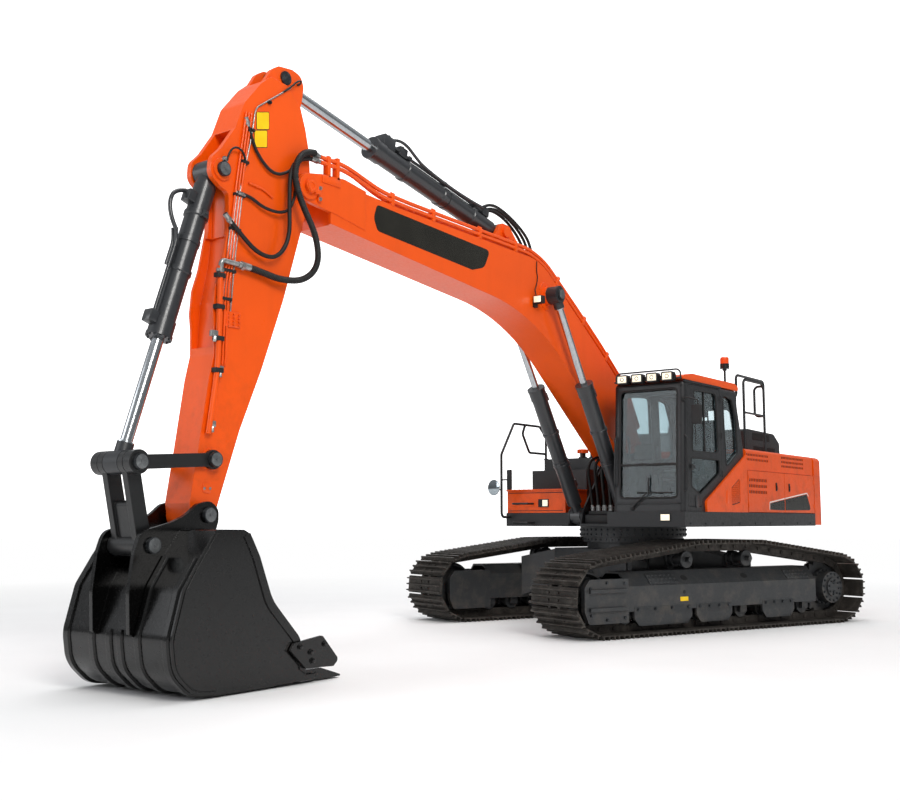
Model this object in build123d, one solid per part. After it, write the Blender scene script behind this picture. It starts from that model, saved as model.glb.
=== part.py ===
from build123d import *
import math
import os

# A tracked excavator, parked with its arm hanging and its bucket just off the ground.
# Millimetres. +X is forward along the boom, +Y is the cab's side and +Z is up.
# The origin is on the ground, under the axis that the upper works swing about.
# At rest the undercarriage is turned under the upper works by SWING_AT_REST.
SWING_AT_REST = 19.6

# Clearances
RUN = 0.3      # between a pin or shaft and the bore that turns on it
FIT = 0.05     # between a pin and the bore that holds it
GAP = 10.0     # beside a plate that swings past another
SEAM = 6.0     # round a door or a lid

# The working arm's pivots, as x and z in the plane y = 0
FOOT = (250, 2060)            # boom on the deck
BOOM_TIP = (6373, 4246)       # arm on the boom
ARM_TIP = (7444, 1337)        # bucket on the arm
ARM_EYE = (6575, 5205)        # arm cylinder's rod on the arm
ARM_BASE = (3165, 4515)       # arm cylinder on the boom
LIFT_EYE = (2430, 3894)       # lift cylinders' rods on the boom
LIFT_BASE = (814, 1356)       # lift cylinders on the deck
CURL_BASE = (7312, 4176)      # bucket cylinder on the arm
LINK_ARM = (7362, 1777)       # side links on the arm
LINK_TOP = (8110, 1729)       # side links, H link and bucket cylinder's rod
LINK_BUCKET = (7973, 1110)    # H link on the bucket

PIN_R = 50
CAP_R = 62
CAP_T = 30

# Boom and arm, both box sections
BOOM_HALF = 215
BOOM_WALL = 16
BOOM_FLANGE = 20
FORK_IN = 180
FORK_OUT = 240
ARM_HALF = 150
ARM_WALL = 14
EAR_SLOT = 100       # half the slot between the ears that hold a cylinder
TOP_SLOT = 75        # half the slot at the arm's top, for the arm cylinder's rod
TOP_EAR = 120        # outer face of the ears at the arm's top

# Lift cylinders
LIFT_Y = 340
LIFT_BORE_R = 95
LIFT_ROD_R = 42
LIFT_EYE_HALF = 70
LIFT_LENGTH = 1850   # from the base pin to the gland
LIFT_ROD = 1870      # from the rod's eye to its end inside the barrel
# Arm cylinder
ARM_BORE_R = 100
ARM_ROD_R = 58
ARM_CYL_LENGTH = 2176
ARM_ROD = 2260
ARM_EYE_HALF = 68
# Bucket cylinder
CURL_BORE_R = 92
CURL_ROD_R = 48
CURL_CYL_LENGTH = 1530
CURL_ROD = 1765
EYE_HALF = 90
TUBE_WALL = 15

# Bucket
BUCKET_HALF = 650
BUCKET_PLATE = 25
BUCKET_EAR_IN = 203
BUCKET_EAR_OUT = 240
TOOTH_COUNT = 5
TOOTH_TIP = 6322
LIP_X = 6655

# Undercarriage, along its own X
GAUGE = 2680
AXLE_SPAN = 4040
SHOE_WIDTH = 800
SHOE_COUNT = 48
PITCH_R = 350        # of the chain's pins round sprocket and idler
GROUND_TO_PITCH = 90
SHOE_BACK = 54       # from the chain's pins to the shoe's outer face
SHOE_T = 14
GROUSER = 36
CHAIN_HALF = 48
WHEEL_Z = GROUND_TO_PITCH + PITCH_R
IDLER_R = 284        # of the treads that the chain's flats lie on
SPROCKET_BORE = 196
CARRIER_X = (500, -520)
CARRIER_TOP = 980    # the chain's pins over the carrier rollers
ROLLER_R = 95
ROLLER_COUNT = 9
ROLLER_PITCH = 375
ROLLER_FIRST = -1520
FRAME_IN = GAUGE / 2 - 250
FRAME_OUT = GAUGE / 2 + 260
FRAME_X = (-1640, 1560)

TOW_EYE_X = 850
TOW_EYE_Z = 600
TOW_EYE_T = 50
TOW_EYE_R = 30

# Swing ring and deck
RING_R = 690
RING_SPLIT = 1090
DECK_Z = 1224
DECK_T = 36
SKIRT_Z = 1400
HALF_WIDTH = 1490
CAB_FRONT = 1560
RIGHT_FRONT = 780
DECK_FRONT = 960
TAIL_R = 3390
TAIL_FRONT = -2720
TAIL_BOTTOM = 1235
BODY_TOP = 2210
BODY_GROOVE = 1940
BODY_X = (-2700, -280)
PANEL_T = 40

# Cab
CAB_Y = (540, HALF_WIDTH - 30)
CAB_FLOOR = 1400
CAB_WALL = 50
CAB_TOP = 2935
ROOF_TOP = 3020
DOOR_T = 40
GLASS_T = 6


def block(x0, x1, y0, y1, z0, z1):
    """A box between two corners."""
    return Pos((x0 + x1) / 2, (y0 + y1) / 2, (z0 + z1) / 2) * Box(x1 - x0, y1 - y0, z1 - z0)


def rounded(outline):
    """The edges of a closed outline of (x, z, corner radius) rows."""
    points = [Vector(x, z) for x, z, _ in outline]
    corners = []
    for i, (_, _, radius) in enumerate(outline):
        here = points[i]
        back = points[i - 1] - here
        on = points[(i + 1) % len(points)] - here
        half_angle = math.radians(back.get_angle(on)) / 2
        # a radius too large for its corner is cut down
        reach = min(radius / math.tan(half_angle), 0.48 * back.length, 0.48 * on.length)
        if reach < 1:
            corners.append((here, here, here))
            continue
        start = here + back.normalized() * reach
        end = here + on.normalized() * reach
        inward = (back.normalized() + on.normalized()).normalized()
        arc_r = reach * math.tan(half_angle)
        corners.append((start, here + inward * (arc_r / math.sin(half_angle) - arc_r), end))
    edges = []
    for i, (start, middle, end) in enumerate(corners):
        edges.append(Line(corners[i - 1][2], start))
        if (end - start).length > 0.1:
            edges.append(ThreePointArc(start, middle, end))
    return edges


def side_face(outline):
    """A face from rows of (x, z, corner radius)."""
    return make_face(rounded(outline))


def slab(outline, y0, y1):
    """A plate with a side outline of (x, z, corner radius) rows, from y0 to y1."""
    return extrude(Plane.XZ.offset(-y0) * side_face(outline), amount=y0 - y1)


def through(face, y0, y1):
    """A plate from a ready face, from y0 to y1."""
    return extrude(Plane.XZ.offset(-y0) * face, amount=y0 - y1)


def rod(pin, radius, y0, y1):
    """A round bar along Y through a pivot."""
    return Pos(pin[0], (y0 + y1) / 2, pin[1]) * Rot(90, 0, 0) * Cylinder(radius, y1 - y0)


def bar(start, end, radius, extra=0):
    """A round bar in the XZ plane from one pivot to another, longer by extra at its end."""
    dx, dz = end[0] - start[0], end[1] - start[1]
    length = math.hypot(dx, dz) + extra
    face = Plane(origin=(start[0], 0, start[1]), z_dir=(dx, 0, dz))
    return extrude(face * Circle(radius), amount=length)


def along(start, end, distance):
    """The point at a distance from start towards end."""
    dx, dz = end[0] - start[0], end[1] - start[1]
    length = math.hypot(dx, dz)
    return (start[0] + dx / length * distance, start[1] + dz / length * distance)


def both(piece):
    """The piece and its mirror image across y = 0."""
    return piece + mirror(piece, about=Plane.XZ)


def shift_y(piece, y):
    return Pos(0, y, 0) * piece


def turned(piece):
    """From the undercarriage's own axes to where it stands at rest."""
    return Rot(0, 0, -SWING_AT_REST) * piece


def pin_with_caps(pivot, half, radius=PIN_R):
    """A pin that reaches the plates' outer faces, with a round cap at each end."""
    pin = rod(pivot, radius, -half, half)
    caps = rod(pivot, CAP_R, half, half + CAP_T)
    return pin + both(caps)


nodes = {}


# Tracks: one closed loop a side, with its shoes in the outline

def track_path():
    """Points and directions along the chain's pins, one for each shoe."""
    half = AXLE_SPAN / 2
    ends = []
    for sign, carrier in ((1, CARRIER_X[0]), (-1, CARRIER_X[1])):
        dx, dz = half - sign * carrier, CARRIER_TOP - WHEEL_Z
        reach = math.hypot(dx, dz)
        slope = math.atan2(dz, dx) - math.asin(PITCH_R / reach)
        ends.append((sign, carrier, slope))
    edges = []
    front, rear = ends
    edges.append(Line((-half, GROUND_TO_PITCH), (half, GROUND_TO_PITCH)))
    for sign, carrier, slope in (front, rear):
        sweep = 180 - math.degrees(slope)
        start = -90 if sign > 0 else 90 + math.degrees(slope)
        edges.append(CenterArc((sign * half, WHEEL_Z), PITCH_R, start, sweep))
    top = [e @ 1 for e in edges[1:2]] + [(CARRIER_X[0], CARRIER_TOP), (CARRIER_X[1], CARRIER_TOP)]
    edges.append(Polyline(*top, edges[2] @ 0))
    return Wire([e for piece in edges for e in piece.edges()])


def track_loop(y0, y1, inner, outer, shoes):
    """The band between two offsets of the chain's pins, with shoes or plain outside."""
    path = track_path()
    pitch = path.length / SHOE_COUNT
    # along a shoe in pitches, and outwards from the pins
    shoe = (
        (-0.47, SHOE_BACK - SHOE_T), (-0.47, SHOE_BACK), (-0.42, SHOE_BACK),
        (-0.40, SHOE_BACK + GROUSER), (-0.34, SHOE_BACK + GROUSER), (-0.31, SHOE_BACK),
        (-0.06, SHOE_BACK), (-0.04, SHOE_BACK + GROUSER), (0.03, SHOE_BACK + GROUSER),
        (0.06, SHOE_BACK), (0.30, SHOE_BACK), (0.32, SHOE_BACK + GROUSER),
        (0.38, SHOE_BACK + GROUSER), (0.41, SHOE_BACK), (0.49, SHOE_BACK), (0.49, SHOE_BACK - SHOE_T),
    )
    pins = [path.position_at(i / SHOE_COUNT) for i in range(SHOE_COUNT)]
    outside, inside = [], []
    for i, pin in enumerate(pins):
        after = pins[(i + 1) % SHOE_COUNT]
        run = (after - pin).normalized()
        out = Vector(run.Y, -run.X)
        across = (after - pins[i - 1]).normalized()
        out_at_pin = Vector(across.Y, -across.X)
        if shoes:
            outside += [(pin + after) * 0.5 + run * (s * pitch) + out * h for s, h in shoe]
        else:
            outside.append(pin + out_at_pin * outer)
        inside.append(pin + out_at_pin * inner)
    face = make_face(Polyline(*outside, close=True)) - make_face(Polyline(*inside, close=True))
    return extrude(Plane.XZ.offset(-y0) * face, amount=y0 - y1)


def track():
    """One track about its own middle line: shoes outside, two chain rails inside."""
    half = SHOE_WIDTH / 2
    shoes = track_loop(-half, half, SHOE_BACK - SHOE_T, 0, True)
    rail = track_loop(60, 105, -CHAIN_HALF, SHOE_BACK - SHOE_T + 4, False)
    return shoes + both(rail)


one_track = track()
nodes["track_left"] = turned(shift_y(one_track, GAUGE / 2))
nodes["track_right"] = turned(shift_y(one_track, -GAUGE / 2))


# Track frames

def across_x(profile, x0, x1):
    """A bar along X from a profile of (y, z) points."""
    face = make_face(Polyline(*profile, close=True))
    return extrude(Plane.YZ.offset(x0) * face, amount=x1 - x0)


FRAME_PROFILE = (
    (FRAME_IN, 280), (FRAME_IN + 60, 280), (FRAME_IN + 60, 360), (FRAME_OUT - 60, 360),
    (FRAME_OUT - 60, 280), (FRAME_OUT, 280), (FRAME_OUT, 560), (FRAME_OUT - 140, 720),
    (FRAME_IN + 130, 720), (FRAME_IN, 600),
)
FRAME_HOLLOW = (
    (FRAME_IN + 25, 385), (FRAME_OUT - 25, 385), (FRAME_OUT - 25, 550),
    (FRAME_OUT - 150, 695), (FRAME_IN + 140, 695), (FRAME_IN + 25, 590),
)
COVER_X = (1560, 2180)


def track_frame():
    """The left frame: beam, idler guides at the front, drive bracket at the back."""
    x0, x1 = FRAME_X
    beam = across_x(FRAME_PROFILE, x0, x1) - across_x(FRAME_HOLLOW, x0 - 1, x1 + 1)
    # idler guides: an outer cover and an inner plate
    cover = (
        (COVER_X[0] - 20, 160, 0), (COVER_X[1] - 60, 160, 40), (COVER_X[1], 300, 60),
        (COVER_X[1], 560, 60), (COVER_X[1] - 70, 650, 40), (COVER_X[0] - 20, 650, 0),
    )
    for y0, y1 in ((FRAME_OUT - 60, FRAME_OUT), (FRAME_IN, FRAME_IN + 60)):
        beam += slab(cover, y0, y1)
    for z in (300, 500):
        beam += block(COVER_X[0] + 20, COVER_X[1] - 60, FRAME_OUT - 5, FRAME_OUT + 35, z, z + 40)
    # drive bracket
    rear = (
        (x0 + 20, 280, 0), (x0 + 20, 640, 0), (x0 - 200, 700, 80), (x0 - 560, 640, 120),
        (x0 - 560, 260, 120), (x0 - 200, 260, 60),
    )
    beam += slab(rear, FRAME_IN, FRAME_IN + 60)
    drive = (-AXLE_SPAN / 2, WHEEL_Z)
    beam -= rod(drive, 170, FRAME_IN - 1, FRAME_IN + 70)
    return beam


left_frame = track_frame()
nodes["track_frame_left"] = turned(left_frame)
nodes["track_frame_right"] = turned(mirror(left_frame, about=Plane.XZ))


def carbody():
    """The centre frame with its four legs and the pedestal of the swing ring."""
    core = block(-760, 760, -700, 700, 500, 940)
    core -= block(-730, 730, -670, 670, 470, 915)
    legs = []
    for sx, sy in ((1, 1), (1, -1), (-1, 1), (-1, -1)):
        root = Plane(origin=(sx * 520, sy * 660, 720), z_dir=(0, sy, 0))
        tip = Plane(origin=(sx * 900, sy * FRAME_IN, 560), z_dir=(0, sy, 0))
        legs.append(loft([root * Rectangle(440, 380), tip * Rectangle(520, 250)]))
    body = core
    for leg in legs:
        body += leg
    body += Pos(0, 0, (930 + RING_SPLIT - 70) / 2) * Cylinder(600, RING_SPLIT - 70 - 930)
    body -= Pos(0, 0, 800) * Cylinder(430, 600)
    # towing eyes, front and back: flat plates with an upright bore
    for end in (1, -1):
        at = Pos(end * TOW_EYE_X, 0, TOW_EYE_Z + TOW_EYE_T / 2)
        body += block(*sorted((end * 740, end * TOW_EYE_X)), -75, 75, TOW_EYE_Z, TOW_EYE_Z + TOW_EYE_T)
        body += at * Cylinder(75, TOW_EYE_T)
        body -= at * Cylinder(TOW_EYE_R, TOW_EYE_T + 2)
    return body


nodes["carbody"] = turned(carbody())


def ring_lower():
    ring = Pos(0, 0, RING_SPLIT - 35) * Cylinder(RING_R - 40, 70)
    return ring - Pos(0, 0, RING_SPLIT - 35) * Cylinder(470, 80)


nodes["swing_ring_lower"] = turned(ring_lower())


def sprocket():
    """Toothed drive wheel about its own middle: one tooth in each second chain pitch."""
    teeth = 21
    points = []
    for i in range(teeth * 4):
        turn = 2 * math.pi * i / (teeth * 4)
        r = PITCH_R + 12 if i % 4 in (0, 1) else PITCH_R - 32
        points.append((r * math.cos(turn), r * math.sin(turn)))
    face = make_face(Polyline(*points, close=True)) - Circle(SPROCKET_BORE)
    return Plane.XZ * Pos(0, 0, -40) * extrude(face, amount=80)


def idler():
    """Front wheel with a raised centre flange that runs between the chain rails."""
    half = (
        (0, 70), (0, IDLER_R + 28), (40, IDLER_R + 28), (48, IDLER_R), (112, IDLER_R),
        (112, IDLER_R - 22), (60, 250), (50, 235), (50, 120), (120, 110), (120, 70),
    )
    left = revolve(Plane.XY * make_face(Polyline(*[(r, y) for y, r in half], close=True)), Axis.Y)
    wheel = left + mirror(left, about=Plane.XZ)
    return wheel + rod((0, 0), 70 - FIT, -190, 190)


def roller(radius, half, axle):
    """Track roller: two treads with a flange outside each, on a shaft."""
    profile = ((0, 0), (0, radius - 22), (40, radius - 22), (45, radius), (half - 20, radius),
               (half - 16, radius + 14), (half, radius + 10), (half, 0))
    left = revolve(Plane.XY * make_face(Polyline(*[(r, y) for y, r in profile], close=True)), Axis.Y)
    return left + mirror(left, about=Plane.XZ) + rod((0, 0), 32, -axle, axle)


def place(piece, x, y, z):
    return Pos(x, y, z) * piece


def on_both_tracks(piece, x, z):
    """The same piece on the middle line of each track."""
    return [place(piece, x, side * GAUGE / 2, z) for side in (1, -1)]


track_y = GAUGE / 2
nodes["sprockets"] = turned(Compound(on_both_tracks(sprocket(), -AXLE_SPAN / 2, WHEEL_Z)))
nodes["idlers"] = turned(Compound(on_both_tracks(idler(), AXLE_SPAN / 2, WHEEL_Z)))


def drive():
    """Final drive on the left: hub through the sprocket and a round cover outside."""
    at = (-AXLE_SPAN / 2, WHEEL_Z)
    hub = rod(at, 170 - FIT, FRAME_IN, track_y - 45) + rod(at, SPROCKET_BORE - FIT, track_y - 45, track_y + 45)
    hub += rod(at, 250, FRAME_IN + 60, FRAME_IN + 90)
    hub += rod(at, 230, track_y + 45, track_y + 90)
    hub += rod(at, 200, track_y + 90, FRAME_OUT - 40)
    hub += rod(at, 120, FRAME_OUT - 40, FRAME_OUT - 15)
    return hub


left_drive = drive()
nodes["final_drives"] = turned(Compound([left_drive, mirror(left_drive, about=Plane.XZ)]))

roller_z = GROUND_TO_PITCH + CHAIN_HALF + ROLLER_R
lower = roller(ROLLER_R - RUN, 132, 178)
rollers = []
for i in range(ROLLER_COUNT):
    x = ROLLER_FIRST + i * ROLLER_PITCH
    for side in (1, -1):
        y = side * track_y
        unit = place(lower, x, y, roller_z)
        for end in (1, -1):
            y_end = y + end * 158
            unit += block(x - 55, x + 55, y_end - 22, y_end + 22, roller_z - 40, 360)
        rollers.append(unit)
nodes["track_rollers"] = turned(Compound(rollers))

carriers = []
carrier_z = CARRIER_TOP - CHAIN_HALF - ROLLER_R
for x in CARRIER_X:
    for side in (1, -1):
        y = side * track_y
        unit = place(roller(ROLLER_R - 8, 132, 198), x, y, carrier_z)
        foot_y = FRAME_IN + 50
        slope = (720 - 600) / 130
        foot = ((foot_y, 600 + 50 * slope), (foot_y + 60, 600 + 110 * slope),
                (foot_y + 60, carrier_z + 45), (foot_y, carrier_z + 45))
        bracket = across_x(foot, x - 45, x + 45)
        unit += bracket if side > 0 else mirror(bracket, about=Plane.XZ)
        carriers.append(unit)
nodes["carrier_rollers"] = turned(Compound(carriers))


# Deck and swing ring

def ring_upper():
    ring = Pos(0, 0, (RING_SPLIT + RUN + DECK_Z) / 2) * Cylinder(RING_R, DECK_Z - RING_SPLIT - RUN)
    return ring - Pos(0, 0, DECK_Z - 60) * Cylinder(500, 200)


nodes["swing_ring_upper"] = ring_upper()


def skirt_box(x0, x1, y0, y1):
    """An open tray: a floor plate with walls up to the skirt's top."""
    wall = 60
    tray = block(x0, x1, y0, y1, DECK_Z, SKIRT_Z)
    return tray - block(x0 + wall, x1 - wall, y0 + wall, y1 - wall, DECK_Z + DECK_T, SKIRT_Z + 10)


def main_plate_outline():
    """The plates that carry the boom's foot, with a front ear for the lift cylinders."""
    x, z = FOOT
    return ((-1500, DECK_Z + DECK_T - 2, 0), (DECK_FRONT, DECK_Z + DECK_T - 2, 0),
            (LIFT_BASE[0] + 105, LIFT_BASE[1] + 20, 40), (LIFT_BASE[0] + 40, LIFT_BASE[1] + 120, 60),
            (x + 200, z - 120, 60), (x + 170, z + 100, 120), (x - 150, z + 170, 120),
            (x - 420, z - 160, 200), (-1500, 1700, 100))


MAIN_PLATE_IN = BOOM_HALF + 7
MAIN_PLATE_OUT = MAIN_PLATE_IN + 20
LIFT_EAR_OUT = LIFT_Y + LIFT_EYE_HALF + GAP / 2


def deck():
    base = block(TAIL_FRONT, DECK_FRONT, -500, 500, DECK_Z, DECK_Z + DECK_T)
    base += skirt_box(TAIL_FRONT, CAB_FRONT, 490, HALF_WIDTH)
    base += skirt_box(TAIL_FRONT, RIGHT_FRONT, -HALF_WIDTH, -490)
    for side in (1, -1):
        plate = slab(main_plate_outline(), *sorted((side * MAIN_PLATE_IN, side * MAIN_PLATE_OUT)))
        base += plate
        inner = sorted((side * MAIN_PLATE_OUT, side * (LIFT_Y - LIFT_EYE_HALF - RUN)))
        base += rod(LIFT_BASE, 95, *inner)
        ear = ((LIFT_BASE[0] - 150, DECK_Z + DECK_T - 2, 0), (LIFT_BASE[0] + 105, DECK_Z + DECK_T - 2, 0),
               (LIFT_BASE[0] + 105, LIFT_BASE[1] + 100, 90), (LIFT_BASE[0] - 100, LIFT_BASE[1] + 100, 90))
        base += slab(ear, *sorted((side * LIFT_EAR_OUT, side * (LIFT_EAR_OUT + 25))))
        base -= rod(LIFT_BASE, PIN_R + FIT, *sorted((side * (MAIN_PLATE_IN - 5), side * 520)))
        notch = sorted((side * (MAIN_PLATE_OUT + 5), side * (LIFT_EAR_OUT - 2)))
        base -= block(LIFT_BASE[0] - 160, DECK_FRONT + 5, *notch, DECK_Z - 5, DECK_Z + DECK_T + 5)
    base -= rod(FOOT, PIN_R + FIT, -400, 400)
    base -= Pos(0, 0, DECK_Z + 10) * Cylinder(430, 80)
    return base


nodes["deck"] = deck()

foot_pin = rod(FOOT, PIN_R, -MAIN_PLATE_OUT, MAIN_PLATE_OUT)
foot_pin += both(rod(FOOT, CAP_R, MAIN_PLATE_OUT, MAIN_PLATE_OUT + 25))
lift_pins = []
for side in (1, -1):
    ends = sorted((side * MAIN_PLATE_OUT, side * (LIFT_EAR_OUT + 25)))
    lift_pin = rod(LIFT_BASE, PIN_R, *ends)
    lift_pin += rod(LIFT_BASE, CAP_R, *sorted((side * (LIFT_EAR_OUT + 25), side * (LIFT_EAR_OUT + 45))))
    lift_pins.append(lift_pin)
nodes["deck_pins"] = Compound([foot_pin] + lift_pins)


# Boom

BOOM_OUTLINE = (
    # x, z, corner radius; over the top from the tip to the foot, and back below
    (6069, 4390, 0), (5088, 4339, 3000), (2549, 4297, 900), (1202, 3413, 3000), (541, 2932, 500),
    (46, 2141, 0), (FOOT[0] + 120, FOOT[1] - 160, 0), (2689, 3645, 3000), (6069, 3975, 0),
)
FORK_OUTLINE = (
    (5600, 4385, 0), (5900, 4430, 200), (6200, 4405, 150), (6460, 4355, 110), (6520, 4215, 110),
    (6430, 4118, 110), (6000, 4075, 0), (5600, 4010, 0),
)
BRACKET_OUTLINE = (
    (2560, 4270, 0), (3560, 4290, 0), (3340, 4470, 120), (3250, 4612, 90), (3080, 4600, 90), (2900, 4430, 300),
)


def boom():
    face = side_face(BOOM_OUTLINE)
    box = extrude(Plane.XZ.offset(-BOOM_HALF + 2 * BOOM_HALF) * face, amount=-2 * BOOM_HALF)
    hollow_half = BOOM_HALF - BOOM_WALL
    hollow = extrude(
        Plane.XZ.offset(hollow_half) * offset(face, -BOOM_FLANGE), amount=-2 * hollow_half)
    box -= hollow
    box += rod(FOOT, 200, -BOOM_HALF, BOOM_HALF)
    for side in (1, -1):
        box += slab(FORK_OUTLINE, *sorted((side * FORK_IN, side * (FORK_OUT - 18))))
        box += rod(BOOM_TIP, 118, *sorted((side * FORK_IN, side * FORK_OUT)))
        box += rod(LIFT_EYE, 110, *sorted((side * (BOOM_HALF - 10), side * (LIFT_Y - LIFT_EYE_HALF - RUN))))
        box += rod(LIFT_EYE, 165, *sorted((side * (BOOM_HALF - 10), side * (BOOM_HALF + 14))))
        box += rod(FOOT, 150, *sorted((side * (BOOM_HALF - 10), side * (BOOM_HALF + 5))))
        box += slab(BRACKET_OUTLINE, *sorted((side * EAR_SLOT, side * (EAR_SLOT + 45))))
    box -= block(6050, 7000, -FORK_IN, FORK_IN, 3800, 4800)
    box -= rod(FOOT, PIN_R + RUN, -400, 400)
    box -= rod(BOOM_TIP, PIN_R + FIT, -400, 400)
    box -= rod(ARM_BASE, PIN_R + FIT, -400, 400)
    return box


nodes["boom"] = boom()
nodes["boom_pins"] = Compound([
    pin_with_caps(BOOM_TIP, FORK_OUT),
    pin_with_caps(ARM_BASE, EAR_SLOT + 45),
])


# Cylinders

def barrel(base, towards, length, radius, rod_radius, eye_r, eye_half, neck=35, y=0):
    """Barrel with its base eye and gland, bored for its rod from the gland end."""
    gland = along(base, towards, length)
    neck_end = along(base, towards, eye_r + neck + 5)
    tube = bar(along(base, towards, eye_r + neck), gland, radius)
    tube += bar(along(base, towards, length - 150), gland, radius + 9)
    tube += bar(along(base, towards, length - 30), gland, radius + 15)
    tube += bar(along(base, towards, length * 0.42), along(base, towards, length * 0.42 + 45), radius + 7)
    tube += bar(along(base, towards, eye_r * 0.7), neck_end, min(radius, eye_half) - 4)
    tube += rod(base, eye_r, -eye_half, eye_half)
    bottom = along(base, towards, eye_r + neck + 25)
    tube -= bar(bottom, along(base, towards, length - 120), radius - TUBE_WALL)
    tube -= bar(along(base, towards, length - 130), gland, rod_radius + RUN, extra=10)
    tube -= rod(base, PIN_R + RUN, -eye_half - 1, eye_half + 1)
    return shift_y(tube, y)


def piston_rod(eye, base, inside, rod_radius, eye_r, eye_half, bore, y=0):
    """Rod with its eye; it reaches inside the barrel by a length measured from the eye."""
    shaft = bar(eye, along(eye, base, inside), rod_radius)
    shaft += rod(eye, eye_r, -eye_half, eye_half)
    collar = min(rod_radius + 18, eye_half - 3)
    shaft += bar(along(eye, base, eye_r * 0.5), along(eye, base, eye_r + 70), collar)
    if bore:
        shaft -= rod(eye, PIN_R + RUN, -eye_half - 1, eye_half + 1)
    return shift_y(shaft, y)


lift_barrels = []
lift_rods = []
for side in (1, -1):
    y = side * LIFT_Y
    lift_barrels.append(barrel(LIFT_BASE, LIFT_EYE, LIFT_LENGTH, LIFT_BORE_R, LIFT_ROD_R,
                               105, LIFT_EYE_HALF, 90, y))
    one = piston_rod(LIFT_EYE, LIFT_BASE, LIFT_ROD, LIFT_ROD_R, 100, LIFT_EYE_HALF, False, y)
    cap = sorted((side * (LIFT_Y + LIFT_EYE_HALF), side * (LIFT_Y + LIFT_EYE_HALF + 25)))
    one += rod(LIFT_EYE, CAP_R, *cap)
    lift_rods.append(one)
nodes["lift_cylinders"] = Compound(lift_barrels)
nodes["lift_rods"] = Compound(lift_rods)

nodes["arm_cylinder"] = barrel(ARM_BASE, ARM_EYE, ARM_CYL_LENGTH, ARM_BORE_R, ARM_ROD_R, 105, EYE_HALF)
nodes["arm_rod"] = piston_rod(ARM_EYE, ARM_BASE, ARM_ROD, ARM_ROD_R, 92, ARM_EYE_HALF, True)
nodes["bucket_cylinder"] = barrel(CURL_BASE, LINK_TOP, CURL_CYL_LENGTH, CURL_BORE_R, CURL_ROD_R, 105, EYE_HALF)
nodes["bucket_rod"] = piston_rod(LINK_TOP, CURL_BASE, CURL_ROD, CURL_ROD_R, 92, 86, True)


# Arm

ARM_OUTLINE = (
    (6772, 5150, 60), (6578, 5128, 60), (6412, 4977, 60), (6345, 4792, 0), (6297, 4601, 300), (6280, 4390, 0),
    (6300, 4110, 300), (6401, 3787, 0), (6584, 3200, 0), (6826, 2561, 0), (7058, 2030, 0), (7280, 1405, 0),
    (7350, 1275, 80), (7444, 1242, 90), (7532, 1266, 90), (7546, 1370, 60), (7558, 1430, 0), (7480, 1891, 0),
    (7394, 2435, 0), (7345, 2640, 90), (7352, 2860, 90), (7368, 2985, 120), (7352, 3180, 120), (7290, 3370, 200),
    (7225, 3700, 200), (7228, 4000, 60), (7330, 4040, 60), (7429, 4110, 100), (7420, 4255, 100), (7318, 4359, 60),
    (7171, 4573, 60), (7077, 4819, 120), (6888, 5052, 90),
)
ARM_HOLLOW = (
    (6560, 4700, 0), (6820, 4900, 0), (6960, 4600, 0), (7090, 4330, 0), (7110, 3960, 0),
    (7180, 3320, 0), (7290, 2560, 0), (7450, 1860, 0), (7455, 1560, 0), (7300, 1560, 0),
    (7085, 2060, 0), (6860, 2580, 0), (6620, 3220, 0), (6530, 3600, 0), (6540, 4300, 0),
)
TOP_EARS = (
    (6900, 4850, 0), (6850, 5060, 60), (6745, 5230, 60), (6660, 5290, 60), (6490, 5312, 90), (6380, 5285, 90),
    (6345, 5190, 90), (6365, 5060, 0), (6420, 4850, 0),
)


def arm():
    box = slab(ARM_OUTLINE, -ARM_HALF, ARM_HALF)
    box -= slab(ARM_HOLLOW, -ARM_HALF + ARM_WALL, ARM_HALF - ARM_WALL)
    box += slab(TOP_EARS, -TOP_EAR, TOP_EAR)
    top_slot = ((6100, 4780, 0), (6100, 5600, 0), (7050, 5600, 0), (6990, 5250, 0), (6800, 5080, 200),
                (6640, 4800, 200), (6500, 4700, 0), (6100, 4700, 0))
    base_slot = ((7060, 4560, 0), (7600, 4560, 0), (7600, 3600, 0), (7190, 3600, 60), (7185, 4180, 150))
    box -= slab(top_slot, -TOP_SLOT, TOP_SLOT)
    box -= slab(base_slot, -EAR_SLOT, EAR_SLOT)
    # between the cheeks under the bucket cylinder the front plate lies further back
    recess = ((7290, 2700, 0), (7500, 2700, 0), (7500, 3650, 0), (7170, 3650, 0), (7200, 3400, 0), (7268, 3080, 0))
    box -= slab(recess, -ARM_HALF + 22, ARM_HALF - 22)
    box += rod(BOOM_TIP, 135, -FORK_IN + 5, FORK_IN - 5)
    # the hub is slim outside the arm's plates, because the side links swing past it
    box += rod(ARM_TIP, 96, -ARM_HALF - 5, ARM_HALF + 5)
    box += rod(ARM_TIP, 60, -BUCKET_EAR_IN + 5, BUCKET_EAR_IN - 5)
    for side in (1, -1):
        box += rod(CURL_BASE, 92, *sorted((side * (ARM_HALF - 5), side * (ARM_HALF + 18))))
        box += rod(LINK_ARM, 88, *sorted((side * (ARM_HALF - 5), side * (ARM_HALF + 7))))
    box -= rod(BOOM_TIP, PIN_R + RUN, -400, 400)
    box -= rod(ARM_EYE, PIN_R + FIT, -400, 400)
    box -= rod(CURL_BASE, PIN_R + FIT, -400, 400)
    box -= rod(LINK_ARM, PIN_R + FIT, -400, 400)
    box -= rod(ARM_TIP, PIN_R + RUN, -400, 400)
    return box


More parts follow.
